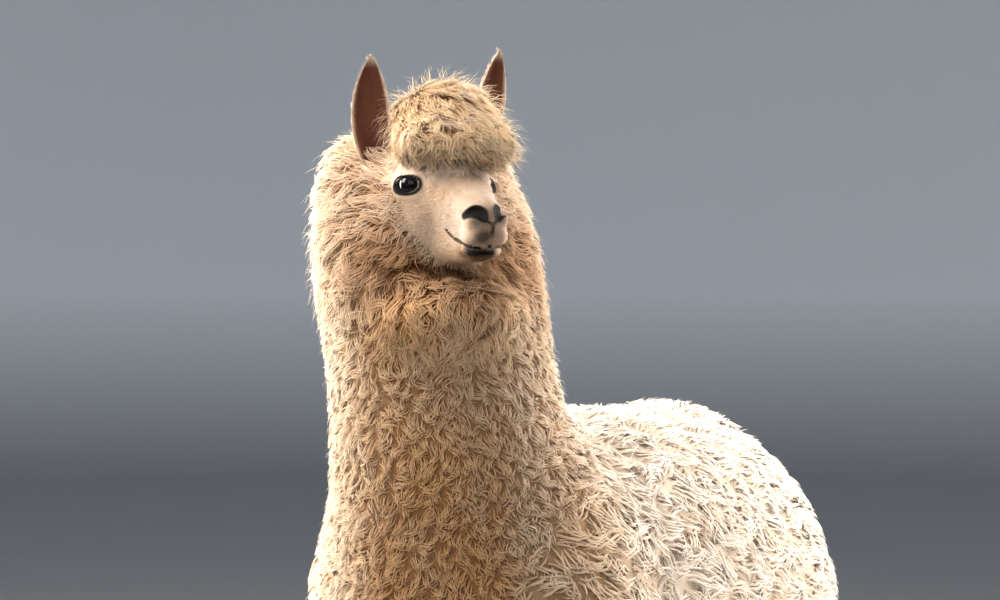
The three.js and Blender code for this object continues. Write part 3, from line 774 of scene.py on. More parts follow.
def strands(paths, radii, side=3):
    """closed tapered tubes along paths (n, k, 3) with radii (n, k); the last point is the tip"""
    n, k, _ = paths.shape
    tan = unit(np.gradient(paths, axis=1))
    ref = np.tile((0.31, 0.42, 0.85), (n, 1))
    b = unit(np.cross(tan, ref[:, None, :]))
    c = np.cross(tan, b)
    ang = np.arange(side) / side * 2 * pi
    ring = paths[:, :-1, None, :] + (b[:, :-1, None, :] * np.cos(ang)[:, None] + c[:, :-1, None, :] * np.sin(ang)[:, None]) * radii[:, :-1, None, None]
    V = np.concatenate([ring.reshape(n, -1, 3), paths[:, -1:, :]], 1)
    per, F = (k - 1) * side + 1, []
    for r in range(k - 2):
        for s in range(side):
            a, a2 = r * side + s, r * side + (s + 1) % side
            F += [(a, a2, a2 + side), (a, a2 + side, a + side)]
    for s in range(side):
        F.append(((k - 2) * side + s, (k - 2) * side + (s + 1) % side, per - 1))
    for s in range(1, side - 1):
        F.append((0, s + 1, s))
    F = (np.array(F)[None] + (np.arange(n) * per)[:, None, None]).reshape(-1, 3)
    return V.reshape(-1, 3), F


def lashes(side):
    rng = np.random.default_rng(20 + side)
    n = 40
    edge, t = almond(400)
    pick = np.sort(rng.choice(np.nonzero((t > 0.18) & (t < 2.9))[0], n, replace=False))
    e, tt = edge[pick], t[pick]
    L = 4.6 + 2.6 * np.sin(tt) + rng.uniform(-1.0, 1.0, n)
    fan = (e[:, 0] / LID_X) * 0.5 + rng.normal(0, 0.12, n)
    P = []
    for s in np.linspace(0, 1, 6):
        ab = e + np.stack([fan * L * s * 0.6, 0.4 + L * (0.10 * s + 0.42 * s * s)], 1)
        P.append(eye_point(ab, 24.8 + L * (0.92 * s - 0.30 * s * s), side))
    P = from_head(np.stack(P, 1).reshape(-1, 3)).reshape(n, 6, 3)
    return strands(P, np.tile(np.array([0.24, 0.22, 0.19, 0.15, 0.09, 0.0]), (n, 1)))


def eyeball(side):
    R, n, m = EYE_R + 1.3, 48, 26
    th = np.concatenate([np.linspace(0, 0.95, 18), np.linspace(1.05, pi * 0.62, m - 18)])
    V, C = [], []
    look, inn, upv = LOOK * (1, side, 1), np.array([LOOK[1], -LOOK[0] * side, 0]), np.array([0, 0, 1.0])
    ph = np.arange(n) / n * 2 * pi
    for a in th:
        bulge = 0.9 * np.exp(-(a / 0.55) ** 2)
        d = cos(a) * look + sin(a) * (np.cos(ph)[:, None] * inn + np.sin(ph)[:, None] * upv)
        x, y = R * a * np.cos(ph), R * a * np.sin(ph)
        V.append(EYE * (1, side, 1) + d * (R + bulge - 0.55))
        pupil = step(1.12, 0.9, np.sqrt((x / 9.5) ** 2 + (y / 5.6) ** 2))
        iris = step(14.5, 13.0, np.full(n, R * a))
        c = mix((0.003, 0.0022, 0.002), (0.010, 0.005, 0.003), iris * (0.6 + 0.4 * np.sin(ph * 23 + np.sin(ph * 7) * 2)))
        C.append(mix(c, (0.002, 0.002, 0.003), pupil))
    V, C = np.concatenate(V), np.concatenate(C)
    i = np.arange(n)
    F = np.concatenate([np.stack([j * n + i, j * n + (i + 1) % n, (j + 1) * n + (i + 1) % n, (j + 1) * n + i], 1)[:, ::-side] for j in range(len(th) - 1)])
    tip, tail = len(V), len(V) + 1
    V = np.concatenate([V, [EYE * (1, side, 1) + look * (R + 0.35), EYE * (1, side, 1) - look * R * 0.3]])
    C = np.concatenate([C, [(0.002, 0.002, 0.003), (0.02, 0.012, 0.009)]])
    last = (len(th) - 1) * n
    caps = [(tip, a, (a + 1) % n)[::side] for a in range(n)] + [(tail, last + (a + 1) % n, last + a)[::side] for a in range(n)]
    quads = np.concatenate([F[:, [0, 1, 2]], F[:, [0, 2, 3]]])
    V = from_head(V)
    return V, facing_out(V, np.concatenate([quads, np.array(caps)])), C


# ---------------------------------------------------------------- nails
def nail(x, y, side):
    """a short curved nail at the end of a toe: rings along its length"""
    at, ax = np.array([x, y - 58.0, 17.0]), np.array([0, -0.93, -0.36])
    ax = ax / np.linalg.norm(ax)
    upn = np.cross(np.array([1.0, 0, 0]), ax)
    upn = upn * np.sign(upn[2])
    n, m = 20, 15
    ph = np.arange(n) / n * 2 * pi
    V, C = [], []
    for j in range(m):
        s = -1 + 2 * (j + 0.5) / m
        k = np.sqrt(max(1 - abs(s) ** 2.2, 0.0)) * (1.0 - 0.14 * s)
        c = at + ax * 18.6 * s - upn * 1.4 * (max(s, 0) ** 2)
        ridge = 1 + 0.05 * np.exp(-((ph - pi / 2) / 0.35) ** 2) + 0.012 * np.sin(9 * s * 3)
        V.append(c + (np.cos(ph) * 7.0 * k * ridge)[:, None] * np.array([1.0, 0, 0]) + (np.sin(ph) * np.where(np.sin(ph) > 0, 7.6, 5.4) * k * ridge)[:, None] * upn)
        C.append(mix(np.tile(HORN, (n, 1)), (0.16, 0.125, 0.10), np.full(n, 0.55 * step(0.2, 1.0, s) + 0.12 * sin(s * 19))))
    V, C = np.concatenate(V + [[at - ax * 18.6], [at + ax * 18.6 - upn * 1.4]]), np.concatenate(C + [[HORN], [HORN]])
    i = np.arange(n)
    F = np.concatenate([np.stack([j * n + i, j * n + (i + 1) % n, (j + 1) * n + (i + 1) % n, (j + 1) * n + i], 1) for j in range(m - 1)])
    T = np.concatenate([F[:, [0, 1, 2]], F[:, [0, 2, 3]]])
    a, b = m * n, m * n + 1
    caps = [(a, (k + 1) % n, k) for k in range(n)] + [(b, (m - 1) * n + k, (m - 1) * n + (k + 1) % n) for k in range(n)]
    return V, facing_out(V, np.concatenate([T, np.array(caps)])), C


# ---------------------------------------------------------------- where the tufts grow
#          cell  tangent length  width  clump  pull  curl  rings  height (mean, spread)  stray angle of clumps, of tufts
COATS = dict(
    face=(2.5, 7.0, 1.0, 9, 0.15, 0.5, 2, 0.85, 0.30, 10, 9),
    muzzle=(2.1, 4.4, 0.8, 7, 0.10, 0.3, 2, 0.80, 0.25, 8, 8),
    ear=(3.0, 10.0, 1.0, 9, 0.20, 0.8, 2, 0.90, 0.35, 8, 8),
    cheek=(3.4, 16.0, 1.5, 12, 0.50, 2.5, 3, 0.90, 0.22, 26, 15),
    brow=(3.0, 21.0, 1.15, 10, 0.50, 2.6, 3, 0.95, 0.40, 38, 22),
    topknot=(3.1, 42.0, 1.3, 15, 0.60, 4.5, 4, 0.92, 0.34, 15, 9),
    ruff=(4.3, 34.0, 2.05, 17, 0.60, 5.5, 4, 0.90, 0.36, 28, 12),
    neck=(4.3, 18.0, 1.95, 14, 0.60, 3.0, 3, 0.90, 0.32, 42, 18),
    trunk=(9.0, 34.0, 4.2, 28, 0.60, 6.0, 3, 0.92, 0.30, 42, 16),
    leg=(9.8, 27.0, 4.8, 19, 0.50, 3.0, 3, 0.92, 0.20, 24, 14),
    shank=(7.4, 15.0, 3.2, 13, 0.30, 1.2, 2, 0.88, 0.25, 14, 12),
    tail=(8.0, 36.0, 4.0, 22, 0.60, 4.5, 3, 0.95, 0.18, 22, 14),
)


def lie(p, r, h):
    """which way the coat runs, not yet laid on the surface"""
    names = ("trunk", "neck", "fore", "hind", "foot", "tail", "face", "topknot", "ruff")
    n = len(p)
    fringe = step(24, 6, r["topknot"]) * step(10, 20, h[:, 2])
    d = np.stack([r[k] + (-4 if k == "face" else 0) for k in names], 1)
    w = np.exp(-(d - d.min(1, keepdims=True)) / 9)
    w /= w.sum(1, keepdims=True)
    high = w[:, 1] * step(1080, 1170, p[:, 2])
    w[:, 1] -= high
    w[:, 8] += high
    side = np.where(h[:, 1] > 0, 1.0, -1.0)
    one = np.ones(n)
    x = np.clip(p[:, 0] / 120, -1, 1)
    back = step(-420, -200, p[:, 1])
    v = dict(trunk=np.stack([0.45 * x, 0.25 + 0.75 * back, -0.85 * one], 1),
             neck=np.tile((0.0, 0.12, -1.0), (n, 1)), fore=np.tile((0.0, 0.10, -1.0), (n, 1)),
             hind=np.tile((0.0, 0.18, -1.0), (n, 1)), foot=np.tile((0.0, -0.6, -0.8), (n, 1)),
             tail=np.stack([0.3 * x, 0.35 * one, -1.0 * one], 1))
    hv = np.stack([-1.0 * one, 0.15 * side + 0.5 * side * step(-20, -70, h[:, 0]), -0.10 * one - 0.4 * step(20, -60, h[:, 0])], 1)
    hv = hv * (1 - fringe[:, None]) + fringe[:, None] * unit(h - np.array([-30, 0, 90.0])) * 1.2
    v["face"] = unit(hv) @ HEAD.T
    v["topknot"] = unit(unit(h - np.array([-74, -6, 150.0])) + np.array([0.55, 0.12, 0.0])) @ HEAD.T
    v["ruff"] = unit(unit(h - np.stack([np.full(n, 46.0), 0.25 * h[:, 1], np.full(n, 6.0)], 1)) * (1, 1, 0.8) + np.array([0, 0, -0.45])) @ HEAD.T
    return sum(w[:, i:i + 1] * unit(v[k]) for i, k in enumerate(names))


def surround(p):
    """the outline's distance and slope, its regions and the head's coordinates at p"""
    r = regions(p)
    d = joined(r)
    e = 0.7
    g = np.stack([joined(regions(p + e * np.eye(3)[i])) - d for i in range(3)], 1)
    return d, unit(g), r, to_head(p)


def mapped(f, *arrays, n=9000):
    """f over chunks of several arrays at once, its results joined"""
    parts = list(POOL.map(lambda i: f(*[a[i:i + n] for a in arrays]), range(0, len(arrays[0]), n)))
    return [np.concatenate(c) for c in zip(*parts)]


def label(p):
    r, h = regions(p), to_head(p)
    deep = depth(p, r)
    names = np.array(["trunk", "neck", "leg", "leg", "shank", "tail", "face", "topknot", "ruff"])
    keys = ("trunk", "neck", "fore", "hind", "foot", "tail", "face", "topknot", "ruff")
    lab = names[np.argmin(np.stack([r[k] + (3 if k == "neck" else 0) for k in keys], 1), 1)].astype("U8")
    lab[(lab == "leg") & (p[:, 2] < 170)] = "shank"
    lab[(lab == "shank") & (p[:, 2] > 170)] = "leg"
    lab[(lab == "leg") & (p[:, 2] > 520)] = "trunk"
    headish = np.isin(lab, ("face", "topknot", "ruff", "neck")) & (p[:, 2] > 1150) & (r["face"] < 40)
    lab[(lab == "neck") & (p[:, 2] > 1130 + 14 * lumps(p, 90, 5))] = "ruff"
    lab[headish & (deep < 11)] = "cheek"
    lab[headish & (deep < 3.5)] = "face"
    lab[(lab == "face") & (deep >= 10)] = "ruff"
    lab[(lab == "face") & (h[:, 0] > 88)] = "muzzle"
    lab[np.isin(lab, ("face", "cheek")) & (r["topknot"] < 25 + 12 * step(10, -40, h[:, 1]) + 9 * lumps(p, 24, 11)) & (h[:, 2] > 3 + 7 * lumps(p, 20, 12)) & (h[:, 0] < 70)] = "brow"
    return lab, deep


def roots():
    """points spread over the skin for every kind of coat"""
    a, b, c, d = (SKIN_V[SKIN_Q[:, i]] for i in range(4))
    area = np.linalg.norm(np.cross(c - a, d - b), axis=1) / 2
    mid = (a + b + c + d) / 4
    lab, _ = mapped(label, mid)
    lab[HEAD_QUADS:] = "ear"
    cell = np.array([COATS[k][0] for k in COATS])
    order = {k: i for i, k in enumerate(COATS)}
    size = cell[np.array([order[k] for k in lab])]
    want = area / size ** 2 * 4.0
    want[mid[:, 2] < 3] = 0
    cum = np.cumsum(want)
    n = int(cum[-1])
    pick = np.searchsorted(cum, RNG.uniform(0, cum[-1], n))
    u, v = RNG.uniform(size=(2, n, 1))
    P = (a[pick] * (1 - u) + b[pick] * u) * (1 - v) + (d[pick] * (1 - u) + c[pick] * u) * v
    L = lab[pick]
    out, names = [], []
    for k in COATS:
        m = L == k
        if not m.any():
            continue
        Q = P[m]
        key = np.floor(Q / COATS[k][0] + RNG.uniform(0, 1, 3)).astype(np.int64)
        key = (key[:, 0] * 4001 + key[:, 1]) * 4001 + key[:, 2]
        _, first = np.unique(key, return_index=True)
        out.append(Q[first])
        names.append(np.full(len(first), k, dtype="U8"))
    return np.concatenate(out), np.concatenate(names)


def bare(p, h):
    """nose, lips, eyes and soles, where nothing grows"""
    m = h.copy()
    m[:, 1] = -np.abs(h[:, 1])
    k = (h[:, 0] > 50) & (p[:, 2] > 1100)
    out = p[:, 2] < 4
    if k.any():
        g = m[k] * (1, -1, 1)
        out[k] |= (tube(m[k], NOSTRIL, 2) < 2.6) | (mouth(g) < 2.4) | (np.minimum(tube(h[k], SEPTUM, 1), tube(g, SEPTUM[:4], 1)) < 1.0)
        out[k] |= (tube(g, LOWER_LIP, 3) < 1.6) & (h[k, 0] > 100) & (h[k, 2] > -106)
    for side in (1, -1):
        a, b, rr = eye_coords(h, side)
        out |= (np.sqrt(((a + 3.5) / 21.8) ** 2 + ((b - 1.0) / 14.4) ** 2) < 1.0) & (rr < 36)
    for y0 in (-302, 396):          # under the nails
        q = np.abs(np.abs(p[:, 0]) - 111)
        out |= (p[:, 1] < y0 - 50) & (p[:, 1] > y0 - 90) & (p[:, 2] < 30)
    return out


def turn_about(v, n, a):
    c, s = np.cos(a)[:, None], np.sin(a)[:, None]
    return v * c + np.cross(n, v) * s + n * (n * v).sum(1, keepdims=True) * (1 - c)


def nearest(points, centres):
    tree = KDTree(len(centres))
    for i, c in enumerate(centres):
        tree.insert(c, i)
    tree.balance()
    return np.array([tree.find(q)[1] for q in points])


def thin_out(P, cell, rng):
    key = np.floor(P / cell + rng.uniform(0, 1, 3)).astype(np.int64)
    key = (key[:, 0] * 4001 + key[:, 1]) * 4001 + key[:, 2]
    order = rng.permutation(len(P))
    _, first = np.unique(key[order], return_index=True)
    return order[first]


def grow(kind, P):
    """paths (n, k, 3) of the tufts of one kind from their roots, the surface's normals on the way, and their looks"""
    cell, T, W, clump, pull, curl, K, hi, spread, wild, stray = COATS[kind]
    rng = np.random.default_rng(sum(map(ord, kind)))
    n = len(P)
    _, deep = mapped(lambda q: (np.zeros(len(q)), depth(q, regions(q))), P)
    if kind == "brow":
        deep = np.maximum(deep, 7.5)
    heads = thin_out(P, clump, rng)
    own = nearest(P, P[heads])
    angle = np.radians(rng.normal(0, wild, len(heads)))[own] + np.radians(rng.normal(0, stray, n))
    tall = (hi + rng.normal(0, spread * 0.7, len(heads)))[own] + rng.normal(0, spread * 0.5, n)
    tall = np.clip(tall, 0.35, 1.08)
    long = rng.uniform(0.85, 1.15, len(heads))[own] * rng.uniform(0.8, 1.15, n)
    bend = np.radians(rng.normal(0, 26, len(heads)))[own]
    phase = rng.uniform(0, 2 * pi, len(heads))[own] + rng.normal(0, 0.35, n)
    scale = np.interp(deep, [1.4, 6, 15, 22], [1, 1, 1, 1.0]) if kind != "cheek" else np.interp(deep, [3, 10], [0.65, 1.25])
    path, normal, side = [], [], []
    p = P.copy()
    root = None
    for k in range(K + 1):
        s = k / K
        if kind == "ear":
            d, N, L = ear_surround(p)
            hp = to_head(p)
            deep = np.full(n, 1.3)
            for s_ in (1, -1):
                m = (hp[:, 1] > 0) == (s_ > 0)
                deep[m] += 2.4 * step(0.72, 0.95, np.abs(paint_ear(hp[m], s_)[3])) + 1.5 * step(0.8, 1.0, paint_ear(hp[m], s_)[2])
        else:
            res = mapped(lambda q: (lambda t: (t[0], t[1], lie(q, t[2], t[3])))(surround(q)), p)
            d, N, L = res
        L = unit(L - N * (L * N).sum(1, keepdims=True))
        if k == 0:
            root = -deep
            p = p - N * np.minimum(1.2, 0.35 * deep)[:, None]
            d = d - np.minimum(1.2, 0.35 * deep)
        L = turn_about(L, N, angle + bend * s)
        path.append(p.copy())
        normal.append(N)
        side.append(np.cross(N, L))
        if k == K:
            break
        s2 = (k + 1) / K
        level = root + deep * tall * (1 - (1 - s2) ** 1.7)
        if kind in ("ruff", "neck", "cheek"):
            level = level - 11.0 * fold(to_head(p + L * (T * long * scale / K)[:, None]))
        up = np.clip(level - d, -T / K * 0.8, T / K * 1.6)
        p = p + L * (T * long * scale / K)[:, None] + N * up[:, None]
    path, normal, side = (np.stack(v, 1) for v in (path, normal, side))
    s = np.linspace(0, 1, K + 1)
    wave = curl * rng.uniform(0.6, 1.4, n)[:, None] * (np.sin(phase[:, None] + s * 5.2) - np.sin(phase[:, None])) * s ** 0.6
    lift = 0.45 * curl * np.cos(phase[:, None] * 1.7 + s * 5.0) * s
    path = path + side * wave[..., None] + normal * np.minimum(lift, 0.6 * curl)[..., None] * 0.6
    a = pull * s ** 1.2
    path = path + (path[heads[own]] - path) * a[None, :, None]
    tips = rng.normal(0, 0.45 * W, (n, 1, 3)) * (s ** 2)[None, :, None]
    path = path + tips
    path[..., 2] = np.maximum(path[..., 2], 0.8)
    width = W * rng.uniform(0.75, 1.25, n) * np.where(kind == "cheek", 0.8 + 0.02 * deep, 1.0)
    tone = rng.normal(0, 1, len(heads))[own] * 0.6 + rng.normal(0, 1, n) * 0.6
    return path, normal, width, deep, tone, rng.uniform(0, 1, n)


def ear_surround(p):
    h = to_head(p)
    e = 0.5
    d = ears(p, 0.0)
    g = np.stack([ears(p + e * np.eye(3)[i], 0.0) - d for i in range(3)], 1)
    v = np.zeros((len(p), 3))
    for side in (1, -1):
        m = (h[:, 1] > 0) == (side > 0)
        if m.any():
            _, inner, t, x, _ = paint_ear(h[m], side)
            _, a, nn, w, _ = ear_frame(side)
            v[m] = (a + np.outer(0.75 * np.sign(x) * np.abs(x) ** 3, w) + np.outer(0.15 * inner, nn)) @ HEAD.T
    return d, unit(g + 1e-9), v


SOFT = 0.70      # how much of the body's own shading a lock takes
PROFILE = {4: (0.9, 1.0, 0.75, 0.42), 3: (0.95, 1.0, 0.55), 2: (1.0, 0.75)}


def locks(path, normal, width, flat=0.55, twist=None):
    """closed three-sided tapered tubes. Returns vertices (n, per, 3) and the faces of one"""
    n, K1, _ = path.shape
    K = K1 - 1
    t = unit(np.gradient(path, axis=1))
    b = unit(np.cross(t, normal))
    u = np.cross(b, t)
    ang = np.array([90, 210, 330]) * pi / 180
    a = ang[None, :] + (np.zeros(n) if twist is None else twist)[:, None]
    prof = np.array(PROFILE[K])
    rad = 0.5 * width[:, None] * prof[None]
    ring = (path[:, :K, None, :] + b[:, :K, None, :] * (np.cos(a)[:, None, :] * rad[:, :, None])[..., None]
            + u[:, :K, None, :] * (np.sin(a)[:, None, :] * rad[:, :, None] * flat)[..., None])
    V = np.concatenate([ring.reshape(n, -1, 3), path[:, K:, :]], 1)
    out = unit(ring - path[:, :K, None, :])
    N = unit(out * (1 - SOFT) + normal[:, :K, None, :] * SOFT)
    N = np.concatenate([N.reshape(n, -1, 3), unit(normal[:, K:] * SOFT + t[:, K:] * (1 - SOFT) * 0.3)], 1)
    F, C = [], []
    for r in range(K - 1):
        for s in range(3):
            i, j = r * 3 + s, r * 3 + (s + 1) % 3
            F += [(i, j + 3, j), (i, i + 3, j + 3)]
            C += [((s, r), (s + 1, r + 1), (s + 1, r)), ((s, r), (s, r + 1), (s + 1, r + 1))]
    for s in range(3):
        F.append(((K - 1) * 3 + (s + 1) % 3, (K - 1) * 3 + s, 3 * K))
        C.append(((s + 1, K - 1), (s, K - 1), (s + 0.5, K)))
    F.append((0, 1, 2))
    C.append(((0, 0), (1, 0.3), (2, 0)))
    C = np.array(C, float) / (3, K)
    return V, N, np.array(F), C


def wisps(kind, P, n):
    """loose hairs that stand out of the coat: paths, normals and widths"""
    T, rise, amp, W = dict(topknot=(40, 17, 4.0, 0.65), ruff=(30, 10, 3.0, 0.7), neck=(15, 6, 1.8, 0.7), trunk=(22, 7, 2.4, 1.0), cheek=(18, 6, 1.8, 0.6), brow=(18, 7, 2.0, 0.6))[kind]
    rng = np.random.default_rng(7 + sum(map(ord, kind)))
    p = P[rng.choice(len(P), min(n, len(P)), replace=False)]
    n = len(p)
    d, N, r, h = surround(p)
    L = lie(p, r, h)
    L = turn_about(unit(L - N * (L * N).sum(1, keepdims=True)), N, np.radians(rng.normal(0, 28, n)))
    side = np.cross(N, L)
    T, rise = T * rng.uniform(0.6, 1.3, n), rise * rng.uniform(0.3, 1.3, n) ** 1.5
    ph, path = rng.uniform(0, 2 * pi, n), []
    for s in np.linspace(0, 1, 5):
        out = -d * min(1.0, 0.35 + 1.6 * s) + rise * s
        path.append(p + N * out[:, None] + L * (T * s * (1 - 0.15 * s))[:, None] + side * (amp * (np.sin(ph + 5.5 * s) - np.sin(ph)) * s)[:, None]
                    - np.array([0, 0, 1.0]) * (0.22 * T * s * s)[:, None])
    return p, np.stack(path, 1), np.repeat(N[:, None], 5, 1), W * rng.uniform(0.7, 1.2, n), rng.normal(0, 1, n)


def clear_of_eyes(path):
    """the tufts that don't hang over an eye"""
    q = to_head(path.reshape(-1, 3))
    out = np.ones(len(path), bool)
    for side in (1, -1):
        a, b, rr = eye_coords(q, side)
        over = (np.sqrt(((a + 3.5) / 20.4) ** 2 + ((b - 0.6) / 13.0) ** 2) < 1.0) & (rr < 46)
        out &= ~over.reshape(path.shape[:2]).any(1)
    return out


def fringe(P, n):
    """locks that hang from the edge of the topknot over the forehead and temples"""
    rng = np.random.default_rng(77)
    h = to_head(P)
    k = np.flatnonzero((h[:, 2] < 60 + 10 * lumps(P, 30, 13)) & (h[:, 0] > -20 - 30 * (h[:, 1] < -20)))
    P = P[rng.choice(k, min(n, len(k)), replace=False)]
    n = len(P)
    heads = thin_out(P, 9.0, rng)
    own = nearest(P, P[heads])
    d, N, _, h = surround(P)
    T = (rng.uniform(14, 36, len(heads))[own] * rng.uniform(0.8, 1.15, n))[:, None]
    turn = rng.normal(0, 0.34, len(heads))[own] + rng.normal(0, 0.14, n)
    run = unit(np.stack([0.62 + 0.2 * turn, 0.014 * h[:, 1] + turn, -0.85 * np.ones(n)], 1)) @ HEAD.T
    ph = rng.uniform(0, 2 * pi, len(heads))[own] + rng.normal(0, 0.4, n)
    side = unit(np.cross(N, run))
    q = P - N * np.minimum(1.0, -0.3 * d)[:, None]
    path, normal = [q], [N]
    for s in (0.25, 0.5, 0.75, 1.0):
        q = q + run * T * 0.25 + N * (np.maximum(-d, 0) * (0.55 if s < 0.6 else 0.0))[:, None] + side * (2.6 * (np.cos(ph + 5 * s) - np.cos(ph + 5 * s - 1.25)))[:, None]
        d, N, _, _ = surround(q)
        q = q + N * np.maximum(rng.uniform(0.6, 2.6, n) - d, 0)[:, None] * (0.4 if s < 0.3 else 1.0)
        d = np.maximum(d, 0)
        path.append(q)
        normal.append(N)
    path = np.stack(path, 1)
    a = 0.55 * np.linspace(0, 1, 5) ** 1.3
    path = path + (path[heads[own]] - path) * a[None, :, None]
    return P, path, np.stack(normal, 1), 1.25 * rng.uniform(0.75, 1.2, n), rng.normal(0, 0.8, n)


def chart(kind, p, h):
    """the root's place on an unwrap of the skin: cylinders round the trunk, neck, legs, tail and head, and flat ears"""
    x, y, z = p.T
    turn = lambda a, b: (np.arctan2(a, b) / (2 * pi) + 0.5)
    if kind == "trunk":
        uv = turn(x, z - 640), (y + 460) / 1100
    elif kind == "neck":
        uv = turn(x, y + np.interp(z, [600, 1230], [200, 392])), (z - 540) / 760
    elif kind in ("leg", "shank"):
        k = (x > 0) * 1 + (y > 60) * 2
        cx, cy = np.sign(x) * 112, np.where(y > 60, np.interp(z, [96, 270, 345, 560], [404, 432, 415, 320]), -291)
        uv = (k + 0.02 + 0.95 * turn(x - cx, y - cy)) / 4, z / 620
    elif kind == "tail":
        uv = turn(x, y - np.interp(z, [612, 850], [566, 490])), (z - 560) / 340
    elif kind == "ear":
        out = np.zeros((len(p), 2))
        for side in (1, -1):
            t, xx, zz, L = ear_coords(h, side)
            m = (h[:, 1] > 0) == (side > 0)
            _, inner, _, _, _ = paint_ear(h, side)
            col = (0 if side > 0 else 2) + (inner > 0.3)
            out[m] = np.stack([(col + 0.5 + xx / 75) / 4, 0.06 + 0.88 * np.clip(t, -0.05, 1)], 1)[m]
        uv = out.T
    elif kind == "topknot":
        q = unit(h - (-14, 4, 52))
        uv = turn(q[:, 1], q[:, 0]), 0.5 + np.arcsin(np.clip(q[:, 2], -1, 1)) / pi
    elif kind == "ruff":
        uv = turn(h[:, 1], h[:, 0] + 70), (h[:, 2] + 280) / 420
    else:
        uv = turn(h[:, 1], h[:, 2] + 52), (h[:, 0] + 130) / 290
    return np.clip(np.stack(uv, 1), 0.002, 0.994)


# ---------------------------------------------------------------- materials
def material(name):
    m = bpy.data.materials.new(name)
    m.use_nodes = True
    nt = m.node_tree
    return m, nt, nt.nodes["Principled BSDF"], nt.nodes, nt.links


def node(nt, kind, **vals):
    x = nt.nodes.new(kind)
    for k, v in vals.items():
        if k in x.inputs:
            x.inputs[k].default_value = v
        else:
            setattr(x, k, v)
    return x


def fleece_material(name, streak, bump, rough, sheen, spread=0.22):
    m, nt, bsdf, nodes, links = material(name)
    col = node(nt, "ShaderNodeAttribute", attribute_name="Col")
    rnd = node(nt, "ShaderNodeAttribute", attribute_name="rnd")
    uv = node(nt, "ShaderNodeUVMap", uv_map="Strand")
    mp = node(nt, "ShaderNodeMapping")
    mp.inputs["Scale"].default_value = (streak, 1.3, 1.0)
    add = node(nt, "ShaderNodeCombineXYZ")
    mul = node(nt, "ShaderNodeMath", operation="MULTIPLY")
    mul.inputs[1].default_value = 40.0
    links.new(rnd.outputs["Fac"], mul.inputs[0])
    links.new(mul.outputs[0], add.inputs["Z"])
    links.new(add.outputs[0], mp.inputs["Location"])
    links.new(uv.outputs[0], mp.inputs["Vector"])
    noise = node(nt, "ShaderNodeTexNoise", Scale=1.0, Detail=3.0, Roughness=0.6)
    links.new(mp.outputs[0], noise.inputs["Vector"])
    ramp = node(nt, "ShaderNodeMapRange")
    ramp.inputs["From Min"].default_value, ramp.inputs["From Max"].default_value = 0.25, 0.75
    ramp.inputs["To Min"].default_value, ramp.inputs["To Max"].default_value = 1 - spread, 1 + spread * 0.5
    links.new(noise.outputs["Fac"], ramp.inputs["Value"])
    hsv = node(nt, "ShaderNodeHueSaturation")
    links.new(col.outputs["Color"], hsv.inputs["Color"])
    links.new(ramp.outputs[0], hsv.inputs["Value"])
    links.new(hsv.outputs[0], bsdf.inputs["Base Color"])
    bp = node(nt, "ShaderNodeBump", Strength=bump, Distance=0.0012)
    links.new(noise.outputs["Fac"], bp.inputs["Height"])
    links.new(bp.outputs[0], bsdf.inputs["Normal"])
    bsdf.inputs["Roughness"].default_value = rough
    bsdf.inputs["Specular IOR Level"].default_value = 0.12
    bsdf.inputs["Sheen Weight"].default_value = sheen
    bsdf.inputs["Sheen Roughness"].default_value = 0.45
    bsdf.inputs["Sheen Tint"].default_value = (1.0, 0.93, 0.82, 1)
    return m


def skin_material():
    m, nt, bsdf, nodes, links = material("skin_under_coat")
    col = node(nt, "ShaderNodeAttribute", attribute_name="Col")
    wet = node(nt, "ShaderNodeAttribute", attribute_name="wet")
    tc = node(nt, "ShaderNodeTexCoord")
    big = node(nt, "ShaderNodeTexNoise", Scale=420.0, Detail=5.0, Roughness=0.65)
    fine = node(nt, "ShaderNodeTexVoronoi", Scale=950.0)
    links.new(tc.outputs["Object"], big.inputs["Vector"])
    links.new(tc.outputs["Object"], fine.inputs["Vector"])
    ramp = node(nt, "ShaderNodeMapRange")
    ramp.inputs["To Min"].default_value, ramp.inputs["To Max"].default_value = 0.72, 1.12
    links.new(big.outputs["Fac"], ramp.inputs["Value"])
    hsv = node(nt, "ShaderNodeHueSaturation")
    links.new(col.outputs["Color"], hsv.inputs["Color"])
    links.new(ramp.outputs[0], hsv.inputs["Value"])
    links.new(hsv.outputs[0], bsdf.inputs["Base Color"])
    rough = node(nt, "ShaderNodeMapRange")
    rough.inputs["To Min"].default_value, rough.inputs["To Max"].default_value = 0.85, 0.40
    links.new(wet.outputs["Fac"], rough.inputs["Value"])
    links.new(rough.outputs[0], bsdf.inputs["Roughness"])
    b1 = node(nt, "ShaderNodeBump", Strength=0.35, Distance=0.0008)
    b2 = node(nt, "ShaderNodeBump", Strength=0.30, Distance=0.0004)
    links.new(big.outputs["Fac"], b1.inputs["Height"])
    links.new(fine.outputs["Distance"], b2.inputs["Height"])
    links.new(b1.outputs[0], b2.inputs["Normal"])
    links.new(b2.outputs[0], bsdf.inputs["Normal"])
    bsdf.inputs["Specular IOR Level"].default_value = 0.07
    return m


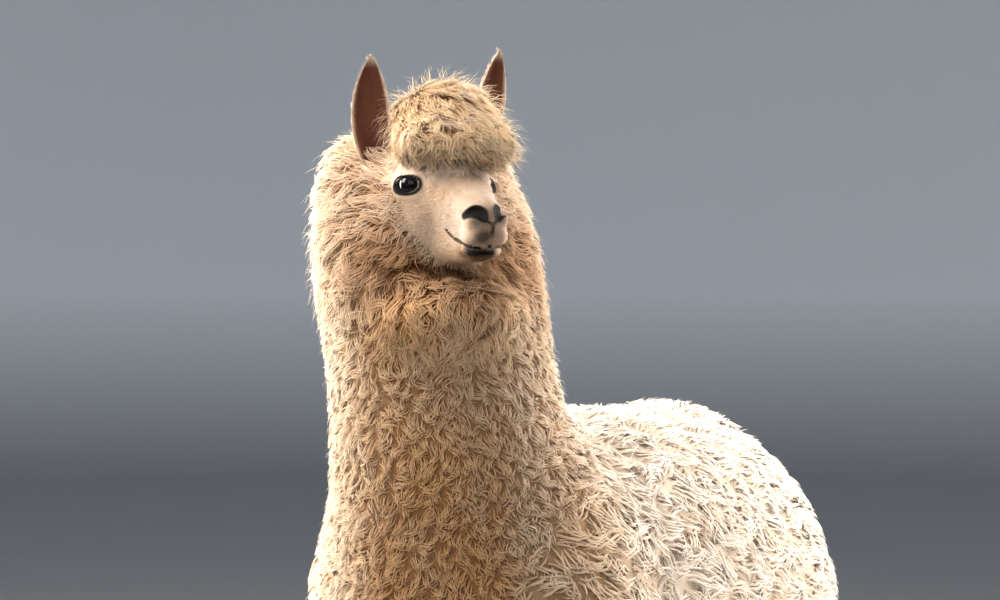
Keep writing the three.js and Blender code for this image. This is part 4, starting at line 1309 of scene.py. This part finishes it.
def eye_material():
    m, nt, bsdf, nodes, links = material("eye")
    col = node(nt, "ShaderNodeAttribute", attribute_name="Col")
    tc = node(nt, "ShaderNodeTexCoord")
    noise = node(nt, "ShaderNodeTexNoise", Scale=900.0, Detail=3.0)
    links.new(tc.outputs["Object"], noise.inputs["Vector"])
    ramp = node(nt, "ShaderNodeMapRange")
    ramp.inputs["To Min"].default_value, ramp.inputs["To Max"].default_value = 0.7, 1.2
    links.new(noise.outputs["Fac"], ramp.inputs["Value"])
    hsv = node(nt, "ShaderNodeHueSaturation")
    links.new(col.outputs["Color"], hsv.inputs["Color"])
    links.new(ramp.outputs[0], hsv.inputs["Value"])
    links.new(hsv.outputs[0], bsdf.inputs["Base Color"])
    bsdf.inputs["Roughness"].default_value = 0.11
    bsdf.inputs["Specular IOR Level"].default_value = 0.16
    bsdf.inputs["Coat Weight"].default_value = 0.04
    bsdf.inputs["Coat Roughness"].default_value = 0.03
    return m


def horn_material():
    m, nt, bsdf, nodes, links = material("horn")
    col = node(nt, "ShaderNodeAttribute", attribute_name="Col")
    tc = node(nt, "ShaderNodeTexCoord")
    mp = node(nt, "ShaderNodeMapping")
    mp.inputs["Scale"].default_value = (900, 160, 900)
    links.new(tc.outputs["Object"], mp.inputs["Vector"])
    noise = node(nt, "ShaderNodeTexNoise", Scale=1.0, Detail=4.0)
    links.new(mp.outputs[0], noise.inputs["Vector"])
    ramp = node(nt, "ShaderNodeMapRange")
    ramp.inputs["To Min"].default_value, ramp.inputs["To Max"].default_value = 0.6, 1.4
    links.new(noise.outputs["Fac"], ramp.inputs["Value"])
    hsv = node(nt, "ShaderNodeHueSaturation")
    links.new(col.outputs["Color"], hsv.inputs["Color"])
    links.new(ramp.outputs[0], hsv.inputs["Value"])
    links.new(hsv.outputs[0], bsdf.inputs["Base Color"])
    r2 = node(nt, "ShaderNodeMapRange")
    r2.inputs["To Min"].default_value, r2.inputs["To Max"].default_value = 0.35, 0.6
    links.new(noise.outputs["Fac"], r2.inputs["Value"])
    links.new(r2.outputs[0], bsdf.inputs["Roughness"])
    bp = node(nt, "ShaderNodeBump", Strength=0.4, Distance=0.0004)
    links.new(noise.outputs["Fac"], bp.inputs["Height"])
    links.new(bp.outputs[0], bsdf.inputs["Normal"])
    return m


M_SKIN, M_EYE, M_HORN = skin_material(), eye_material(), horn_material()
M_FLEECE = fleece_material("fleece", 6.0, 0.30, 0.9, 0.08)
M_HAIR = fleece_material("face_hair", 3.0, 0.20, 0.85, 0.05, 0.12)
M_LASH = fleece_material("lash", 2.0, 0.3, 0.45, 0.0)

# ---------------------------------------------------------------- skin
def painted(p):
    h = to_head(p)
    r = regions(p)
    c, wet, nf = paint(p, h, r)
    deep = depth(p, r)
    # painted shade: the skin under the fleece darkened, most on the neck and front, and a little under the short face
    # hair
    c = mix(c, mix(c * (0.44, 0.34, 0.26), c * (0.70, 0.62, 0.54), step(-300, -170, p[:, 1])), step(3.5, 12, deep))      # under the fleece
    c = mix(c, c * (0.9, 0.84, 0.78), 1 - step(2.5, 12, deep))
    return c, wet


skin_c, skin_w = mapped(painted, SKIN_V)
EAR_VERTS = (SKIN_Q[HEAD_QUADS:].min(), len(SKIN_V))
eh = to_head(SKIN_V[EAR_VERTS[0]:])
for side in (1, -1):
    m = (eh[:, 1] > 0) == (side > 0)
    skin_c[EAR_VERTS[0]:][m] = paint_ear(eh[m], side)[0]
    skin_w[EAR_VERTS[0]:][m] = 0
skin_ob = make("skin", SKIN_V, SKIN_Q, colour=skin_c, wet=skin_w, mat=M_SKIN)
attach(skin_ob, "root")
flesh = [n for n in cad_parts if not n.startswith(("eye_", "nail_"))]
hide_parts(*flesh)

for side, name in ((1, "left"), (-1, "right")):
    V, F, C = eyeball(side)
    ob = make("eyeball_" + name, V, F, colour=C, mat=M_EYE)
    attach(ob, "root")
    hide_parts("eye_" + name)
    V, F, C, W = eyelids(side)
    ob = make("eyelids_" + name, V, F, colour=C, wet=W, mat=M_SKIN)
    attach(ob, "root")
    V, F = lashes(side)
    ob = make("lashes_" + name, V, F, colour=np.tile((0.02, 0.016, 0.014), (len(V), 1)), rnd=np.zeros(len(V)), strand=np.zeros((F.size, 2)), mat=M_LASH)
    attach(ob, "root")
    for foot_name, y in (("forefoot", -302), ("hindfoot", 396)):
        for sx, inner in ((1, "outer"), (-1, "inner")):
            x0 = 111 if foot_name == "forefoot" else 117
            V, F, C = nail(side * (x0 + sx * 21), y, side)
            ob = make(f"nail_{foot_name}_{name}_{inner}_horn", V, F, colour=C, mat=M_HORN)
            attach(ob, "root")
            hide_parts(f"nail_{foot_name}_{name}_{inner}")
print("head parts done")

# ---------------------------------------------------------------- coat
ROOTS, KINDS = roots()
hair = ~bare(ROOTS, to_head(ROOTS))
hh = to_head(ROOTS)
for side in (1, -1):            # little hair inside the ears
    m = (KINDS == "ear") & ((hh[:, 1] > 0) == (side > 0))
    _, inner, t, x, _ = paint_ear(hh[m], side)
    hair[m] &= (RNG.uniform(size=m.sum()) > 0.82 * inner * step(1.0, 0.7, np.abs(x))) & (t > 0.02)
ROOTS, KINDS = ROOTS[hair], KINDS[hair]
TOTAL = 0
HAIRY = ("face", "muzzle", "ear", "shank")
# painted shade: tuft roots darkened towards these colours, as deep in the coat
ROOT_SHADE = dict(neck=(0.60, 0.47, 0.36), ruff=(0.60, 0.48, 0.38), topknot=(0.64, 0.52, 0.42), trunk=(0.62, 0.53, 0.44), leg=(0.6, 0.5, 0.42), tail=(0.58, 0.49, 0.41))


def coat_piece(title, kind, path, normal, width, tone, rnd, tip, rootc, uv0):
    """the tufts as meshes of less than 200,000 triangles each"""
    global TOTAL
    K = path.shape[1] - 1
    if kind in ("face", "brow", "cheek", "topknot"):
        keep = clear_of_eyes(path)
        path, normal, width, tone, rnd, tip, rootc, uv0 = (v[keep] for v in (path, normal, width, tone, rnd, tip, rootc, uv0))
    rng = np.random.default_rng(3)
    V, N, F, corner = locks(path, normal, width, flat=0.45, twist=rng.normal(0, 0.25, len(path)))
    per = V.shape[1]
    tip = tip * (1 + 0.10 * np.clip(tone, -2, 1.5)[:, None]) - np.clip(-tone, 0, 2)[:, None] * tip * np.array((0.03, 0.07, 0.10))
    s = np.concatenate([np.repeat(np.arange(K) / K, 3), [1.0]])
    w = step(0.0, 0.92, s)[None, :, None]
    C = rootc[:, None, :] * (1 - w) + tip[:, None, :] * w
    piece = 190000 // len(F)
    order = np.lexsort((uv0[:, 1], np.floor(uv0[:, 0] * 2)))
    for part, i0 in enumerate(range(0, len(path), piece)):
        idx = order[i0:i0 + piece]
        n = len(idx)
        FF = (F[None] + (np.arange(n) * per)[:, None, None]).reshape(-1, 3)
        strand = np.tile(corner.reshape(1, -1, 2), (n, 1, 1)).reshape(-1, 2)
        bake = (uv0[idx][:, None, None, :] + (corner[None] - 0.5) * 0.003).reshape(-1, 2)
        name = title + (f"_{part + 1}" if len(path) > piece else "")
        ob = make(name, V[idx].reshape(-1, 3), FF, normals=N[idx].reshape(-1, 3), colour=C[idx].reshape(-1, 3), rnd=np.repeat(rnd[idx], per),
                  strand=strand, bake=bake, mat=M_HAIR if kind in HAIRY else M_FLEECE)
        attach(ob, "root")
        TOTAL += len(FF)
    print(title, len(path), len(path) * len(F))


def coat_colour(q):
    return (paint(q, to_head(q), regions(q))[0],)


for kind in COATS:
    P = ROOTS[KINDS == kind]
    if not len(P):
        continue
    path, normal, width, deep, tone, rnd = grow(kind, P)
    K = path.shape[1] - 1
    h0 = to_head(P)
    if kind == "ear":
        tip = np.zeros((len(P), 3))
        for side in (1, -1):
            m = (h0[:, 1] > 0) == (side > 0)
            tip[m] = paint_ear(h0[m], side)[0]
        # painted shade: roots darker than the tips
        rootc = tip * 0.8
    else:
        tip = mapped(coat_colour, path[:, max(1, K // 2)] if kind not in ("face", "muzzle") else P)[0]
        # painted shade: roots darker than the tips where the coat is deep
        k = step(2.5, 14, deep)[:, None]
        rootc = tip * (1 - k) * 0.9 + k * tip * np.array(ROOT_SHADE.get(kind, (0.68, 0.57, 0.46)))
    coat_piece("coat_" + kind, kind, path, normal, width, tone, rnd, tip, rootc, chart(kind, P, h0))
for kind, n in (("fringe", 1700), ("topknot", 1000), ("ruff", 1100), ("neck", 700), ("trunk", 500), ("cheek", 100), ("brow", 100)):
    P, path, normal, width, tone = fringe(ROOTS[KINDS == "topknot"], n) if kind == "fringe" else wisps(kind, ROOTS[KINDS == kind], n)
    tip = mapped(coat_colour, path[:, 1])[0]
    base = "topknot" if kind == "fringe" else kind
    # painted shade: roots of the wisps and fringe darker than their tips
    coat_piece(("coat_" if kind == "fringe" else "coat_wisps_") + kind, base, path, normal, width, tone, np.abs(np.sin(tone * 9)), tip * 1.05, tip * 0.85, chart(base, P, to_head(P)))
print("coat triangles", TOTAL, "skin", len(SKIN_Q) * 2)

# ---------------------------------------------------------------- camera, floor, light
cam = bpy.data.objects.new("camera", bpy.data.cameras.new("camera"))
cam.data.lens, cam.data.sensor_width, cam.data.sensor_fit = 85, 36, "HORIZONTAL"
cam.data.clip_end = 200
tilt = atan2(40, 2361)
fw = -BACK * cos(tilt) + np.array([0, 0, sin(tilt)])
upv = np.cross(RIGHT, fw)
M = np.eye(4)
M[:3, 0], M[:3, 1], M[:3, 2], M[:3, 3] = RIGHT, upv, -fw, to_metres(CAMERA_AT)
cam.matrix_world = Matrix(M.tolist())
bpy.context.scene.collection.objects.link(cam)
bpy.context.scene.camera = cam

# a floor that sweeps up into a wall all round, so that every view has the same pale ground
n, rings = 96, []
for rad, z in [(0.0004, 0), (2, 0), (8, 0), (14, 0)] + [(14 + 6 * sin(a), 6 - 6 * cos(a)) for a in np.linspace(0.1, pi / 2, 12)] + [(20, 16)]:
    t = np.arange(n) / n * 2 * pi
    rings.append(np.stack([rad * np.cos(t), rad * np.sin(t), np.full(n, z)], 1))
V = np.concatenate(rings) * 1000 - SHIFT
i = np.arange(n)
F = np.concatenate([np.stack([j * n + i, j * n + (i + 1) % n, (j + 1) * n + (i + 1) % n, (j + 1) * n + i], 1) for j in range(len(rings) - 1)])
mf, nt, bsdf, nodes, links = material("floor")
noise = node(nt, "ShaderNodeTexNoise", Scale=3.0, Detail=2.0)
tc = node(nt, "ShaderNodeTexCoord")
links.new(tc.outputs["Object"], noise.inputs["Vector"])
cr = node(nt, "ShaderNodeMix", data_type="RGBA")
cr.inputs[6].default_value, cr.inputs[7].default_value = (0.27, 0.275, 0.28, 1), (0.29, 0.295, 0.30, 1)
links.new(noise.outputs["Fac"], cr.inputs[0])
high = node(nt, "ShaderNodeSeparateXYZ")
links.new(tc.outputs["Object"], high.inputs[0])
rise = node(nt, "ShaderNodeMapRange")
rise.inputs["From Min"].default_value, rise.inputs["From Max"].default_value = 0.02, 1.5
links.new(high.outputs["Z"], rise.inputs["Value"])
wall = node(nt, "ShaderNodeMix", data_type="RGBA")
wall.inputs[7].default_value = (0.88, 0.90, 0.92, 1)
links.new(rise.outputs[0], wall.inputs[0])
links.new(cr.outputs[2], wall.inputs[6])
links.new(wall.outputs[2], bsdf.inputs["Base Color"])
bsdf.inputs["Roughness"].default_value = 0.9
floor = make("floor", V, F[:, ::-1], mat=mf)
floor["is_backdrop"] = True


def lamp(name, at, to, size, power, colour=(1, 1, 1)):
    d = bpy.data.lights.new(name, "AREA")
    d.shape, d.size, d.size_y, d.energy, d.color = "RECTANGLE", size[0], size[1], power, colour
    o = bpy.data.objects.new(name, d)
    o.location = Vector(at)
    o.rotation_euler = (Vector(to) - Vector(at)).to_track_quat("-Z", "Y").to_euler()
    bpy.context.scene.collection.objects.link(o)


MID = (NECK_TOP + SHIFT) / 1000


def place(right, towards, z):
    """a spot in metres from the neck: to the camera's right, towards it, and up"""
    return tuple(MID + RIGHT * right + BACK * towards + np.array([0, 0, z]))


lamp("sun_right", place(2.9, -1.3, 1.8), place(0.7, -0.7, 0.8), (1.5, 1.3), 245, (1.0, 0.98, 0.95))
lamp("sun_back", place(0.6, -2.9, 3.6), place(0.2, -0.4, 1.1), (1.6, 1.6), 76, (1.0, 0.96, 0.90))
lamp("sun_left", place(-2.8, 0.15, 2.9), place(0, 0, 1.15), (1.3, 1.3), 150, (1.0, 0.94, 0.86))
lamp("rim_left", place(-2.3, -1.2, 1.5), place(0, 0, 0.9), (0.9, 1.4), 205, (1.0, 0.94, 0.86))
lamp("fill", place(-1.2, 3.4, 2.6), place(0, 0, 1.1), (2.6, 1.6), 38, (1.0, 0.95, 0.88))
lamp("top", place(-0.5, 1.1, 3.3), place(0.05, 0.1, 1.3), (1.2, 1.2), 62, (1.0, 0.95, 0.88))
world = bpy.data.worlds.new("studio")
world.use_nodes = True
world.node_tree.nodes["Background"].inputs["Color"].default_value = (0.86, 0.92, 1.0, 1)
world.node_tree.nodes["Background"].inputs["Strength"].default_value = 0.42
bpy.context.scene.world = world
bpy.context.scene.view_settings.view_transform = "Standard"

low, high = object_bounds()
